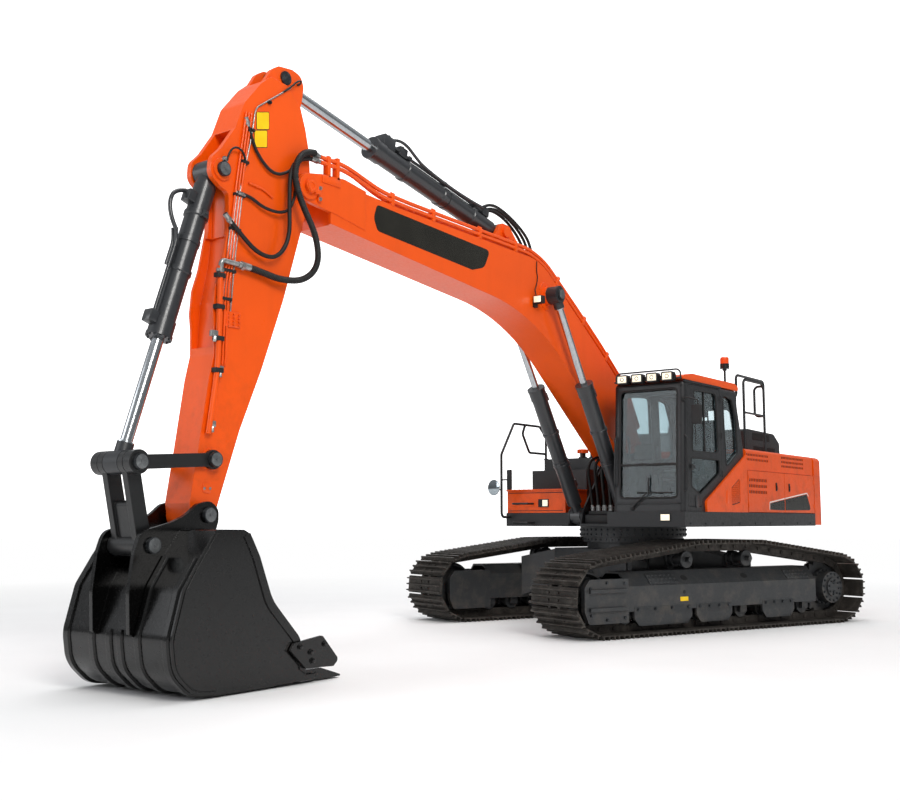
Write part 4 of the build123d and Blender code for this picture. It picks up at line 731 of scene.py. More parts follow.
def arm_small_hoses():
    """Grease hoses that stay on the arm: to the top pin, and over the bucket cylinder's pin."""
    hoses = Build()
    hoses.hose([(6.640, 0.161, 5.045), (6.55, 0.166, 5.12), (6.47, 0.164, 5.20), (6.415, 0.155, 5.225),
                (6.400, 0.140, 5.205), (6.43, 0.128, 5.185)], 0.009, 10)
    hoses.hose([(7.060, 0.165, 4.27), (7.085, 0.185, 4.36), (7.19, 0.195, 4.40), (7.27, 0.195, 4.34),
                (7.29, 0.190, 4.25)], 0.009, 10)
    hoses.done("arm_grease_hoses", HOSE, "arm")
    metal = Build()
    metal.bolt((7.295, 0.168, 4.262), LEFT, 0.022, 0.02)
    metal.disc((7.295, 0.168, 4.13), LEFT, 0.012, 0.014, 6)
    metal.done("arm_grease_nipples", SILVER, "arm")


def over_boom(x, rise):
    """A point over the boom's top plate at a measured x, lifted square to the plate."""
    rows = ((6.069, 4.390), (5.088, 4.339), (2.700, 4.299), (2.400, 4.199), (1.202, 3.413),
            (0.541, 2.932), (0.046, 2.141))
    for (x1, z1), (x0, z0) in zip(rows, rows[1:]):
        if x0 <= x <= x1 or (x1, z1) == rows[0] and x > x1:
            t = (x - x0) / (x1 - x0)
            run = Vector((x1 - x0, z1 - z0)).normalized()
            return Vector((x, z0 + (z1 - z0) * t)) + Vector((-run.y, run.x)) * rise


def boom_lines():
    """Pipes along the near edge of the boom's top, from the tip's fittings to the foot."""
    pipes, clamps, metal = Build(), Build(), Build()
    # y, rise over the plate, radius and height of the fittings at the tip
    table = ((0.198, 0.095, 0.020, 4.570), (0.200, 0.045, 0.020, 4.520), (0.168, 0.030, 0.011, 4.545),
             (0.166, 0.070, 0.011, 4.590))
    for y, rise, radius, tip in table:
        route = [(6.20, y, tip), (5.88, y, tip + 0.005)]
        for x in (5.35, 4.93, 3.74, 2.75, 2.45, 1.80, 1.202, 0.541, 0.25):
            p = over_boom(x, rise)
            route.append((p.x, y, p.y))
        pipes.pipe(route, radius, 0.16, 12)
        metal.fitting((6.32, y, tip), BEHIND, radius * 1.1, 0.11)
    for x in (5.20, 4.55, 3.74, 3.05, 2.20, 1.60, 1.05, 0.62):
        low, high = over_boom(x, -0.004), over_boom(x, 0.125)
        mid = over_boom(x, 0.06)
        slope = math.atan2(high.x - low.x, high.y - low.y)
        turn = Matrix.Rotation(slope, 3, "Y")
        clamps.box((mid.x - 0.022, 0.152, mid.y - 0.066), (mid.x + 0.022, 0.222, mid.y + 0.066), 0.006,
                   turn)
        top = over_boom(x, 0.127)
        clamps.bolt((top.x, 0.187, top.y), (math.sin(slope), 0, math.cos(slope)), 0.011, 0.010)
    # the stand that carries the fittings at the tip
    clamps.box((5.96, 0.156, 4.36), (6.00, 0.222, 4.61), 0.006)
    clamps.box((6.08, 0.156, 4.36), (6.12, 0.222, 4.60), 0.006)
    clamps.box((5.96, 0.222, 4.33), (6.20, 0.232, 4.40), 0.004)
    pipes.done("boom_lines", ORANGE, "boom")
    clamps.done("boom_line_clamps", ORANGE, "boom")
    metal.done("boom_line_fittings", SILVER, "boom")


def along(base, end):
    """A cylinder's direction, the turn that lays a box along it, and a call for points beside it."""
    run = (Vector(end) - Vector(base)).normalized()
    turn = Matrix.Rotation(-math.atan2(run.y, run.x), 3, "Y")

    def on(s, out, y=0.0):
        """A point at a distance from the base pin, and out to the upper side."""
        p = Vector(base) + run * s + Vector((-run.y, run.x)) * out
        return (p.x, y, p.y)

    return run, turn, on


def arm_cylinder_lines():
    """Port blocks, steel pipes and bands on the arm cylinder, and its hoses to the boom."""
    dark, steel, hoses = Build(), Build(), Build()
    run, turn, on = along(ARM_BASE, ARM_EYE)
    for s, half, tall in ((1.98, 0.085, 0.065), (1.76, 0.06, 0.05), (0.30, 0.06, 0.05)):
        dark.block(on(s, 0.135), half, -0.065, 0.075, tall, 0.008, turn)
        for y in (-0.04, 0.045):
            dark.bolt(on(s, 0.135 + tall, y), (-run.y, 0, run.x), 0.016, 0.014)
    for s in (1.62, 1.02, 0.48):
        dark.ring(on(s, 0), (run.x, 0, run.y), 0.111, 0.098, 0.05)
        dark.block(on(s + 0.025, 0.122, 0.02), 0.024, -0.035, 0.075, 0.022, 0.005, turn)
    for y in (-0.008, 0.048):
        dark.pipe([on(1.90, 0.135, y), on(1.66, 0.125, y), on(0.34, 0.125, y)], 0.016, 0.06, 12)
    dark.hose([on(1.93, 0.19, 0.03), on(1.86, 0.235, 0.05), on(1.74, 0.22, 0.085), on(1.62, 0.15, 0.105),
               on(1.45, 0.10, 0.108), on(0.80, 0.085, 0.108), on(0.40, 0.13, 0.10)], 0.016, 12)
    for y, s in ((0.048, 0.32), (-0.008, 0.30), (0.10, 0.40)):
        hoses.hose([on(s, 0.14, y), on(s - 0.12, 0.24, y), on(s - 0.42, 0.27, y * 0.9), (2.72, y, 4.62),
                    (2.56, y, 4.46), (2.52, y, 4.24)], 0.017, 12)
    dark.done("arm_cylinder_lines", CYLINDER, "arm_cylinder")
    hoses.done("arm_cylinder_hoses", HOSE, across=("boom", "arm_cylinder", (2.74, 0, 4.6), (3.30, 0, 4.72)))
    for y in (0.048, -0.008, 0.10):
        steel.fitting((2.525, y, 4.295), (-0.05, 0, -1), 0.02, 0.04)
        steel.disc((2.535, y, 4.255), (0.05, 0, 1), 0.030, 0.05, 20, bevel=0.004)
    steel.done("boom_port_collars", CYLINDER, "boom")


def bucket_cylinder_lines():
    """Bands, ports, steel pipes and a hose on the bucket cylinder's front."""
    dark = Build()
    run, turn, on = along(CURL_BASE, LINK_TOP)
    for s in (0.40, 0.92):
        dark.ring(on(s, 0), (run.x, 0, run.y), 0.103, 0.090, 0.045)
    for y in (0.098, -0.098):
        at = on(0.422, 0.0, y)
        dark.block(at, 0.03, y - 0.028, y + 0.028, 0.03, 0.006, turn)
        dark.bolt((at[0], y + math.copysign(0.028, y), at[2]), (0, math.copysign(1, y), 0), 0.013, 0.012)
    for s, out in ((0.30, 0.115), (1.40, 0.125)):
        dark.block(on(s, out), 0.05, -0.05, 0.05, 0.042, 0.008, turn)
    dark.pipe([on(0.62, 0.16, 0.02), on(0.72, 0.122, 0.02), on(1.36, 0.122, 0.02)], 0.015, 0.06, 12)
    dark.pipe([on(0.62, 0.16, -0.02), on(0.72, 0.122, -0.02), on(0.93, 0.122, -0.02)], 0.015, 0.06, 12)
    dark.hose([on(0.26, 0.15, -0.02), on(0.30, 0.24, -0.03), on(0.42, 0.27, -0.02), on(0.56, 0.22, 0.0),
               on(0.64, 0.15, 0.02)], 0.018, 12)
    # bolts of the gland
    for t in around(12):
        flat = Vector((0, 1, 0)) * math.cos(t) + Vector((-run.y, 0, run.x)) * math.sin(t)
        at = Vector(on(1.53, 0)) + flat * 0.088
        dark.bolt(at, (run.x, 0, run.y), 0.009, 0.010)
    dark.done("bucket_cylinder_lines", CYLINDER, "bucket_cylinder")


def foot_hoses():
    """Valve blocks on the deck before the boom's foot, and the hoses from them up to the boom."""
    block_piece, steel, hoses = Build(), Build(), Build()
    block_piece.box((0.62, -0.20, 1.2605), (0.90, 0.20, 1.37), 0.012)
    block_piece.box((0.66, -0.17, 1.37), (0.86, 0.17, 1.42), 0.010)
    block_piece.box((0.30, -0.17, 1.2605), (0.58, 0.17, 1.40), 0.010)
    for y in (-0.135, -0.045, 0.045, 0.135):
        steel.fitting((0.80, y, 1.41), (0.25, 0, 1), 0.021, 0.09)
        steel.fitting((0.70, y, 1.415), (-0.1, 0, 1), 0.017, 0.08)
        hoses.hose([(0.818, y, 1.48), (0.84, y, 1.60), (0.87, y, 1.75), (0.90, y * 1.1, 1.90),
                    (0.85, y * 1.1, 2.05), (0.70, y, 2.11), (0.60, y, 2.105)], 0.019, 12)
        hoses.hose([(0.693, y, 1.47), (0.685, y, 1.60), (0.68, y, 1.74), (0.70, y * 1.05, 1.88),
                    (0.62, y, 1.98), (0.50, y, 2.03)], 0.016, 12)
    block_piece.done("valve_block", MATT)
    steel.done("valve_fittings", SILVER)
    hoses.done("foot_hoses", HOSE, across=("house", "boom", (0.84, 0, 1.68), (0.62, 0, 2.08)))


def lift_cylinder_lines():
    """Ports, bands and a steel pipe on each lift cylinder."""
    lift = Build()
    run, turn, on = along(LIFT_BASE, LIFT_EYE)
    for y in (LIFT_Y, -LIFT_Y):
        for s in (0.42, 1.66):
            lift.block(on(s, 0.118), 0.05, y - 0.04, y + 0.04, 0.03, 0.007, turn)
        lift.pipe([on(1.62, 0.128, y), on(0.46, 0.128, y)], 0.014)
        for s in (0.75, 1.20):
            lift.ring(on(s, 0, y), (run.x, 0, run.y), 0.106, 0.094, 0.04)
    lift.done("lift_cylinder_lines", CYLINDER, "lift_cylinders")


# Boom and arm trim

def boom_trim():
    """Bare dark panel, work lamp with its wire, and the fork's pin locks."""
    panel = Build()
    outline = ((5.434, 4.300, 0.05), (5.480, 4.160, 0.10), (5.425, 4.044, 0.06), (3.890, 3.945, 0.10),
               (3.670, 4.010, 0.14), (3.560, 4.215, 0.05))
    panel.side_plate(outline, BOOM_SIDE, BOOM_SIDE + 0.0015, 0)
    panel.done("boom_panel", PANEL, "boom")
    lamp, glass, wire, steel = Build(), Build(), Build(), Build()
    lamp.box((2.650, 0.235, 3.760), (2.735, 0.345, 3.850), 0.012)
    lamp.box((2.660, 0.214, 3.72), (2.720, 0.250, 3.80), 0.006)
    glass.box((2.733, 0.245, 3.770), (2.741, 0.335, 3.840), 0.003)
    wire.hose([(2.630, 0.219, 4.27), (2.645, 0.222, 4.16), (2.615, 0.222, 4.08), (2.650, 0.222, 3.98),
               (2.690, 0.228, 3.93), (2.690, 0.245, 3.86), (2.690, 0.250, 3.84)], 0.006, 8)
    lamp.done("boom_lamp", MATT, "boom")
    glass.done("boom_lamp_lens", LENS, "boom")
    wire.done("boom_lamp_wire", HOSE, "boom")
    # lock bars of the pins at the fork
    lock = Build()
    for y_side in (1, -1):
        face = y_side * LOCK_FOOT
        lock.box((6.215, face, 4.135), (6.262, face + y_side * 0.020, 4.285), 0.005)
        for z in (4.16, 4.26):
            steel.bolt((6.238, face + y_side * 0.020, z), (0, y_side, 0), 0.014, 0.012)
        lock.box((6.255, face, 4.19), (6.32, face + y_side * 0.045, 4.23), 0.005)
        lock.ring((BOOM_TIP[0], y_side * 0.270, BOOM_TIP[1]), (0, y_side, 0), 0.050, 0.030, 0.006)
    lock.done("fork_locks", ORANGE, "boom")
    steel.done("fork_bolts", SILVER, "boom")


def pin_faces():
    """Bright end faces on the pins' caps, and the cover plate low on the arm."""
    table = (("arm", CURL_BASE, 0.198), ("arm", LINK_ARM, 0.233), ("side_links", LINK_TOP, 0.268),
             ("bucket", ARM_TIP, 0.270), ("bucket", LINK_BUCKET, 0.270))
    made = {}
    for body, pivot, y in table:
        build = made.setdefault(body, Build())
        for y_side in (1, -1):
            build.disc((pivot[0], y_side * y, pivot[1]), (0, y_side, 0), 0.054, 0.005, 32, bevel=0.002)
            build.disc((pivot[0], y_side * (y + 0.005), pivot[1]), (0, y_side, 0), 0.014, 0.006, 6,
                       bevel=0.001)
    for body, build in made.items():
        build.done(body + "_pin_faces", CAP, body)
    lift = Build()
    for y_side in (1, -1):
        lift.disc((LIFT_EYE[0], y_side * 0.435, LIFT_EYE[1]), (0, y_side, 0), 0.054, 0.004, 32, bevel=0.002)
    lift.done("lift_pin_faces", CAP, "lift_rods")
    cover = Build()
    cover.side_plate(((7.335, 1.590, 0.03), (7.425, 1.595, 0.03), (7.445, 1.525, 0.03),
                      (7.355, 1.500, 0.03)),
                     ARM_SIDE, ARM_SIDE + 0.006, 0.002)
    cover.done("arm_cover", ORANGE, "arm")
    bolts = Build()
    for x in (7.360, 7.418):
        bolts.disc((x, ARM_SIDE + 0.006, 1.548), LEFT, 0.012, 0.002, 16)
    bolts.done("arm_cover_bolts", SILVER, "arm")


def bucket_trim():
    """Wear straps over the bucket's back and round its heel, weld beads and bolts."""
    straps = Build()
    heel = ((7.716, 1.228, 0.04), (7.870, 1.020, 0.15), (8.015, 0.800, 0.20), (8.112, 0.442, 0.25),
            (8.076, 0.206, 0.25), (7.902, 0.045, 0.22), (7.700, 0.024, 0.10))
    curve = round_corners((*heel, (7.2, 0.023, 0)), 9)
    back = [p for p in curve[6:] if p[1] < 1.10]
    for y in (-0.625, -0.31, 0.24, 0.555):
        straps.strap(back, 0.016, y, y + 0.07)
    for y in (-0.10, 0.03):
        straps.strap([p for p in back if p[1] < 0.52], 0.016, y, y + 0.07)
    straps.done("bucket_straps", BLACK, "bucket")
    welds = Build()
    edge = round_corners(((7.442, 1.226, 0), *heel, (6.911, 0.022, 0)), 8)
    middle = Vector((7.5, 0.6))
    for y in (0.652, -0.652):
        inner = [Vector(p) + (middle - Vector(p)).normalized() * 0.028 for p in edge[1:-1]]
        welds.tube([(p.x, y, p.y) for p in inner], 0.005, 6)
    welds.done("bucket_welds", BLACK, "bucket")
    bolts = Build()
    for x, z in ((6.86, 0.30), (6.74, 0.25), (6.72, 0.18), (6.58, 0.30)):
        for y_side in (1, -1):
            bolts.bolt((x, y_side * 0.685, z), (0, y_side, 0), 0.020, 0.016)
    for i in range(5):
        y = (i / 4 * 2 - 1) * 0.568
        for y_side in (1, -1):
            bolts.disc((6.61, y + y_side * 0.0515, 0.060), (0, y_side, 0), 0.018, 0.006, 16)
    bolts.done("bucket_bolts", BLACK, "bucket")


arm_pipes()
arm_fittings()
tip_hoses()
arm_small_hoses()
boom_lines()
arm_cylinder_lines()
bucket_cylinder_lines()
foot_hoses()
lift_cylinder_lines()
boom_trim()
pin_faces()
bucket_trim()


# Upper works

def lamps():
    """Lenses in the roof lamps, the deck's lamp and the lamp in the front box."""
    glass, dark = Build(), Build()
    for i in range(4):
        y = 0.715 + i * 0.195
        glass.box((1.547, y - 0.058, 2.926), (1.555, y + 0.058, 3.004), 0.006)
        dark.ring((1.555, y, 2.965), AHEAD, 0.024, 0.018, 0.003)
        for y_side in (-1, 1):
            dark.box((1.478, y + y_side * 0.079 - 0.006, 2.930),
                     (1.52, y + y_side * 0.079 + 0.006, 2.985), 0.003)
    dark.box((1.552, 1.185, 1.288), (1.572, 1.318, 1.378), 0.006)
    glass.box((1.570, 1.196, 1.298), (1.576, 1.307, 1.368), 0.004)
    dark.box((0.776, -0.975, 1.475), (0.790, -0.815, 1.580), 0.008)
    glass.box((0.788, -0.905, 1.487), (0.795, -0.827, 1.568), 0.004)
    glass.done("lamp_lenses", LENS)
    dark.done("lamp_frames", MATT)


def cab_front():
    """Seal round the front pane, the bar across it, wiper, blind and front handle."""
    def lean(z):
        return 1.505 - (z - 1.4) * 75 / 1535

    seal, metal = Build(), Build()
    y0, y1 = 0.63, 1.37
    frame_line = round_corners(((y0, 1.560, 0.06), (y1, 1.560, 0.06), (y1, 2.830, 0.06),
                                (y0, 2.830, 0.06)), 6)
    line = [(lean(z) + 0.001, y, z) for y, z in frame_line]
    seal.tube(line + line[:2], 0.013, 8)
    seal.box((lean(1.95) - 0.030, y0 + 0.005, 1.935), (lean(1.95) + 0.004, y1 - 0.005, 1.965), 0.006)
    seal.box((lean(2.76) - 0.05, y0 + 0.03, 2.755), (lean(2.76) - 0.03, y1 - 0.03, 2.82), 0.008)
    seal.pipe(((1.45, 0.70, 1.64), (1.40, 0.70, 1.68), (1.36, 0.70, 2.20), (1.40, 0.70, 2.30)), 0.011, 0.05)
    # wiper: motor cap, arm and blade
    seal.disc((1.500, 0.80, 1.440), AHEAD, 0.026, 0.022, 20, bevel=0.004)
    seal.pipe(((1.517, 0.80, 1.440), (1.520, 0.86, 1.500), (1.506, 1.00, 1.625)), 0.008, 0.02, 8)
    seal.pipe(((1.517, 0.83, 1.440), (1.514, 0.90, 1.500), (1.505, 1.03, 1.620)), 0.004, 0.02, 8)
    seal.box((1.484, 0.86, 1.612), (1.500, 1.30, 1.630), 0.004)
    seal.box((1.488, 1.00, 1.625), (1.503, 1.016, 1.80), 0.003)
    seal.done("cab_front_trim", MATT)
    # handles on the front post and screws round the frame
    metal.pipe(((1.508, 0.585, 1.70), (1.535, 0.585, 1.74), (1.505, 0.585, 2.25), (1.478, 0.585, 2.29)),
               0.011, 0.05)
    for z in (1.50, 1.95, 2.40, 2.86):
        for y in (0.595, 1.405):
            metal.bolt((lean(z) - 0.001, y, z), (1, 0, 0.05), 0.008, 0.006)
    metal.done("cab_front_fixings", CAB_DARK)


def side_seal(name, rows, y, body, radius=0.011):
    line = [(x, y, z) for x, z in round_corners(rows, 6)]
    seal = Build()
    seal.tube(line + line[:2], radius, 8)
    seal.done(name, MATT, body)


def cab_sides():
    """Rubber seals in the side windows, the door's bars and latch, and the rail beside it."""
    upper = ((1.265, 2.100, 0.06), (1.180, 2.830, 0.08), (0.560, 2.840, 0.08), (0.520, 2.110, 0.06))
    lower = ((1.290, 2.030, 0.05), (0.500, 2.035, 0.05), (0.495, 1.865, 0.05), (1.070, 1.600, 0.06),
             (1.300, 1.690, 0.05))
    rear = ((0.360, 2.850, 0.06), (0.090, 2.810, 0.08), (-0.040, 2.560, 0.20), (-0.055, 2.140, 0.06),
            (0.300, 1.940, 0.06))
    side_seal("door_seal_upper", upper, CAB_SIDE - 0.004, "cab_door")
    side_seal("door_seal_lower", lower, CAB_SIDE - 0.004, "cab_door")
    side_seal("rear_seal_left", rear, CAB_SIDE - 0.004, "house")
    side_seal("side_seal_right", upper, 0.544, "house")
    side_seal("rear_seal_right", rear, 0.544, "house")
    bars = Build()
    # sash of the sliding pane, the inner rail and the latch plate
    bars.box((0.868, CAB_SIDE - 0.034, 2.105), (0.892, CAB_SIDE - 0.008, 2.835), 0.005)
    bars.box((1.10, CAB_SIDE - 0.034, 2.18), (1.118, CAB_SIDE - 0.018, 2.75), 0.005)
    bars.box((1.235, CAB_SIDE - 0.002, 1.885), (1.345, CAB_SIDE + 0.004, 1.950), 0.003)
    bars.pipe(((0.60, CAB_SIDE - 0.04, 2.18), (0.60, CAB_SIDE - 0.075, 2.22),
               (0.66, CAB_SIDE - 0.075, 2.62),
               (0.66, CAB_SIDE - 0.04, 2.66)), 0.010, 0.03)
    bars.done("door_bars", MATT, "cab_door")
    step = Build()
    step.pipe(((1.458, CAB_SIDE - 0.03, 1.62), (1.470, CAB_SIDE + 0.030, 1.65),
               (1.440, CAB_SIDE + 0.030, 2.26),
               (1.425, CAB_SIDE - 0.03, 2.29)), 0.012, 0.05)
    # rounded plate beside the door's foot
    step.side_plate(((1.10, 1.44, 0.04), (1.20, 1.44, 0.04), (1.22, 1.58, 0.05), (1.12, 1.60, 0.05)),
                    CAB_SIDE, CAB_SIDE + 0.006, 0.002)
    step.done("cab_grab_rail", CAB_DARK)


def cab_inside():
    """Monitor, dash column, arm rests, floor mat and rear shelf."""
    made, screen, boots = Build(), Build(), Build()
    made.box((0.10, 0.62, 1.4505), (1.38, 1.38, 1.462), 0.004)
    made.box((0.98, 0.60, 1.464), (1.34, 0.70, 2.00), 0.02)
    tilt = Matrix.Rotation(math.radians(-18), 3, "Y")
    made.box((1.02, 0.615, 2.02), (1.08, 0.85, 2.22), 0.012, tilt)
    made.box((1.00, 0.66, 1.98), (1.06, 0.70, 2.06), 0.004)
    made.box((-0.16, 0.62, 1.95), (-0.08, 1.38, 2.10), 0.01)
    for y in (0.70, 1.30):
        made.box((0.18, y - 0.05, 2.012), (0.50, y + 0.05, 2.075), 0.022)
        boots.disc((0.64, y, 2.012), UP, 0.045, 0.05, 20, top=0.020)
        boots.disc((0.64, y, 2.19), (0.1, 0, 1), 0.024, 0.03, 16, bevel=0.006)
    screen.box((0.998, 0.635, 2.035), (1.003, 0.83, 2.205), 0.002, tilt, (1.05, 0.7325, 2.12))
    made.done("cab_dash", PLASTIC)
    screen.done("cab_screen", PANEL)
    boots.done("lever_boots", HOSE)


def mirrors():
    """The cab's mirror on its arm, and the two on the right handrail."""
    shells, faces = Build(), Build()
    shells.pipe(((1.440, 1.445, 2.700), (1.450, 1.50, 2.715), (1.440, 1.63, 2.675), (1.435, 1.63, 2.62)),
                0.010, 0.03)
    shells.box((1.400, 1.545, 2.400), (1.455, 1.665, 2.625), 0.022)
    shells.disc((1.43, 1.435, 2.70), LEFT, 0.028, 0.03, 20, bevel=0.004)
    shells.pipe(((0.965, -1.440, 1.705), (1.04, -1.475, 1.715), (1.055, -1.485, 1.735)), 0.009, 0.02)
    shells.disc((1.075, -1.488, 1.735), (-1, 0.1, 0), 0.105, 0.030, 36, top=0.06, bevel=0.006)
    shells.pipe(((0.965, -1.440, 1.84), (0.965, -1.36, 1.84), (0.962, -1.335, 1.84)), 0.010, 0.02)
    shells.box((0.940, -1.352, 1.706), (0.975, -1.282, 1.972), 0.014)
    faces.box((1.397, 1.556, 2.412), (1.401, 1.654, 2.613), 0.002)
    faces.disc((1.0752, -1.488, 1.735), (1, -0.1, 0), 0.100, 0.004, 36, bevel=0.002)
    faces.box((0.937, -1.346, 1.716), (0.941, -1.288, 1.962), 0.002)
    shells.done("mirror_shells", MATT)
    faces.done("mirror_faces", MIRROR)


def vent_group(fins, back, x0, x1, z0, z1, count, y, depth):
    """Upright fins, and in each slot of a group a dark back that is painted shade."""
    pitch = (z1 - z0) / count
    number = int((x1 - x0) / 0.052)
    for i in range(count):
        low, high = z0 + (i + 0.3) * pitch, z0 + (i + 0.8) * pitch
        # dark box deep in the slot: painted shade inside the vent
        back.box((x0 + 0.001, y - depth, low + 0.001), (x1 - 0.001, y - depth * 0.7, high - 0.001), 0)
        for k in range(1, number):
            x = x0 + (x1 - x0) * k / number
            fins.box((x - 0.006, y - depth * 0.9, low - 0.001),
                     (x + 0.006, y - depth * 0.08, high + 0.001), 0.001)


def side_trim():
    """Vents, latches, the bare dark panels with their pale edge, and the grille in the wedge."""
    fins, back = Build(), Build()
    vent_group(fins, back, -1.030, -0.300, 2.045, 2.165, 2, 1.475, 0.013)
    vent_group(fins, back, -2.330, -1.500, 2.000, 2.175, 3, 1.475, 0.013)
    fins.done("cowl_vent_fins", ORANGE)
    # the vents' dark backs are painted shade
    back.done("cowl_vent_shade_backs", MATT)
    for name, body, rows, y, count in (
            ("front_door", "left_door_front", (-0.920, -0.330, 1.620, 1.850), 1.490, 3),
            ("right_door", "right_door", (-2.500, -1.600, 1.560, 1.860), -1.490, 5)):
        fins, back = Build(), Build()
        vent_group(fins, back, *rows, count, y, math.copysign(0.013, y))
        fins.done(name + "_vent_fins", ORANGE, body)
        # dark backs of the door vents: painted shade
        back.done(name + "_vent_shade_backs", MATT, body)
    # bare panels: one on each left door, pale edge on top and in front
    for body, rows in (
            ("left_door_front", ((-1.012, 1.440, 0), (-1.018, 1.524, 0.01), (-1.538, 1.580, 0),
                                 (-1.538, 1.436, 0))),
            ("left_door_rear", ((-1.562, 1.436, 0), (-1.562, 1.582, 0), (-2.395, 1.668, 0.05),
                                (-2.560, 1.445, 0.05)))):
        panel = Build()
        panel.side_plate(rows, DOOR_SIDE, DOOR_SIDE + 0.0015, 0)
        panel.done(body + "_panel", PANEL, body)
    edges = {"left_door_front": ((-0.998, 1.436), (-1.004, 1.536), (-1.538, 1.594)),
             "left_door_rear": ((-1.562, 1.596), (-2.400, 1.684), (-2.46, 1.640))}
    for body, rows in edges.items():
        edge = Build()
        for (ax, az), (bx, bz) in zip(rows, rows[1:]):
            run = Vector((bx - ax, bz - az)).normalized()
            out = Vector((-run.y, run.x)) * 0.007
            corners = [(ax + out.x, az + out.y), (bx + out.x, bz + out.y), (bx - out.x, bz - out.y),
                       (ax - out.x, az - out.y)]
            edge.plate([(-x, z) for x, z in corners], (0, DOOR_SIDE + 0.0002, 0), BEHIND, UP, 0.0016)
        edge.done(body + "_panel_edge", WHITE, body)
    # latches and the small hatch
    for body, x, z, y_side in (("left_door_front", -1.250, 1.745, 1), ("left_door_rear", -1.72, 1.745, 1),
                               ("right_door", -1.30, 1.745, -1)):
        latch = Build()
        latch.box((x - 0.022, y_side * 1.489, z - 0.055), (x + 0.022, y_side * 1.497, z + 0.055), 0.006)
        latch.box((x - 0.010, y_side * LATCH_FOOT, z - 0.040), (x + 0.010, y_side * 1.506, z + 0.020),
                  0.004)
        latch.disc((x, y_side * LATCH_FOOT, z + 0.036), (0, y_side, 0), 0.009, 0.004, 16)
        latch.done(body + "_latch", MATT, body)
    grille, behind = Build(), Build()
    rows = ((-0.040, 1.520, 0.03), (0.230, 1.480, 0.03), (0.230, 1.700, 0.03), (-0.040, 1.830, 0.03))
    # thin black plate behind the grille's bars: painted shade in the opening
    behind.side_plate(rows, 1.4815, 1.4830, 0)
    for k in range(10):
        x = -0.015 + k * 0.025
        low = 1.52 - (x + 0.04) * 0.148
        high = 1.83 - (x + 0.04) * 0.481
        grille.box((x - 0.004, 1.483, low + 0.012), (x + 0.004, 1.4895, high - 0.012), 0.001)
    for k in range(12):
        z = 1.515 + k * 0.025
        right = 0.222 if z < 1.69 else 0.23 - (z - 1.69) / 0.481
        left = -0.035 if z > 1.52 else 0.05
        if right - left > 0.05:
            grille.box((left, 1.4835, z - 0.003), (right, 1.4885, z + 0.003), 0.001)
    hatch = Build()
    hatch.side_plate(((0.320, 1.505, 0.02), (0.390, 1.500, 0.02), (0.390, 1.655, 0.02),
                      (0.320, 1.690, 0.02)),
                     1.4895, 1.4935, 0.002)
    grille.done("wedge_grille", ORANGE)
    # the grille's dark back is painted shade
    behind.done("wedge_grille_shade_back", MATT)
    hatch.done("wedge_hatch", ORANGE)


def hood_trim():
    """Mesh in the hood's grilles and the exhaust's stub."""
    mesh, pipe = Build(), Build()
    for x0, x1, z0, z1 in ((-2.440, -1.800, 2.430, 2.540), (-2.640, -1.830, 2.290, 2.350)):
        for start, end in ((0.944, 0.9485), (-0.8495, -0.853)):
            for k in range(int((x1 - x0) / 0.026)):
                x = x0 + 0.013 + k * 0.026
                mesh.box((x - 0.007, start, z0 + 0.004), (x + 0.007, end, z1 - 0.004), 0.001)
    pipe.pipe(((-2.10, -0.45, 2.555), (-2.10, -0.45, 2.68), (-2.22, -0.45, 2.74)), 0.048, 0.10, 20)
    pipe.ring((-2.10, -0.45, 2.561), UP, 0.075, 0.048, 0.02)
    mesh.done("hood_mesh", MATT, "engine_hood")
    pipe.done("exhaust", PIN, "engine_hood")


def deck_trim():
    """Bolt rows of the swing ring, skirt bolts, tread studs and the box's seams."""
    bolts, studs, lip = Build(), Build(), Build()
    for t in around(RING_BOLTS):
        out = Vector((math.cos(t), math.sin(t), 0))
        for z in (1.180, 1.120):
            bolts.bolt(out * RING_UPPER + Vector((0, 0, z)), out, 0.013, 0.010)
    for x in (-2.5, -2.0, -1.5, -1.0, -0.5, 0.0, 0.5, 1.0, 1.4):
        for y_side in (1, -1):
            if y_side > 0 or x < 0.7:
                bolts.bolt((x, y_side * 1.489, 1.262), (0, y_side, 0), 0.011, 0.008)
    lower = Build()
    for t in around(RING_BOLTS, 0.5):
        out = Vector((math.cos(t), math.sin(t), 0))
        lower.bolt(out * RING_LOWER + Vector((0, 0, 1.055)), out, 0.012, 0.010)
    for x0, x1, y0, y1, z in ((0.27, 0.75, -1.44, -0.60, 1.712), (-0.06, 0.19, -1.36, -1.10, 1.985),
                              (-1.08, -0.30, -1.36, -0.98, 2.160)):
        nx, ny = max(2, int((x1 - x0) / 0.075)), max(2, int((y1 - y0) / 0.075))
        for i in range(nx):
            for j in range(ny):
                at = (x0 + (x1 - x0) * (i + 0.5) / nx, y0 + (y1 - y0) * (j + 0.5) / ny, z)
                studs.disc(at, UP, 0.013, 0.005, 8, top=0.008)
    # seam lines over and under the front box's door
    for z0, z1 in ((1.660, 1.668), (1.425, 1.432)):
        lip.box((0.779, -1.45, z0), (0.7835, -0.60, z1), 0.001)
    bolts.done("deck_bolts", PIN)
    lower.done("ring_bolts", PIN, "undercarriage")
    studs.done("walk_studs", CAB_DARK)
    lip.done("box_seams", MATT)


def right_steps():
    """Ladder rungs before the front box, and the ribbed filler cap."""
    step, cap = Build(), Build()
    for z in (1.270, 1.520):
        step.pipe(((0.775, -1.300, z), (0.930, -1.300, z), (0.930, -1.060, z), (0.775, -1.060, z)), 0.014,
                  0.05)
    cap.disc((-0.260, -0.900, 2.235), UP, 0.070, 0.055, 28, bevel=0.010)
    for t in around(10):
        cap.disc((-0.260 + 0.070 * math.cos(t), -0.900 + 0.070 * math.sin(t), 2.237), UP, 0.010, 0.046, 8)
    step.done("box_steps", CAB_DARK)
    cap.done("filler_cap", ORANGE)


# Undercarriage, in its own axes and turned to where it stands

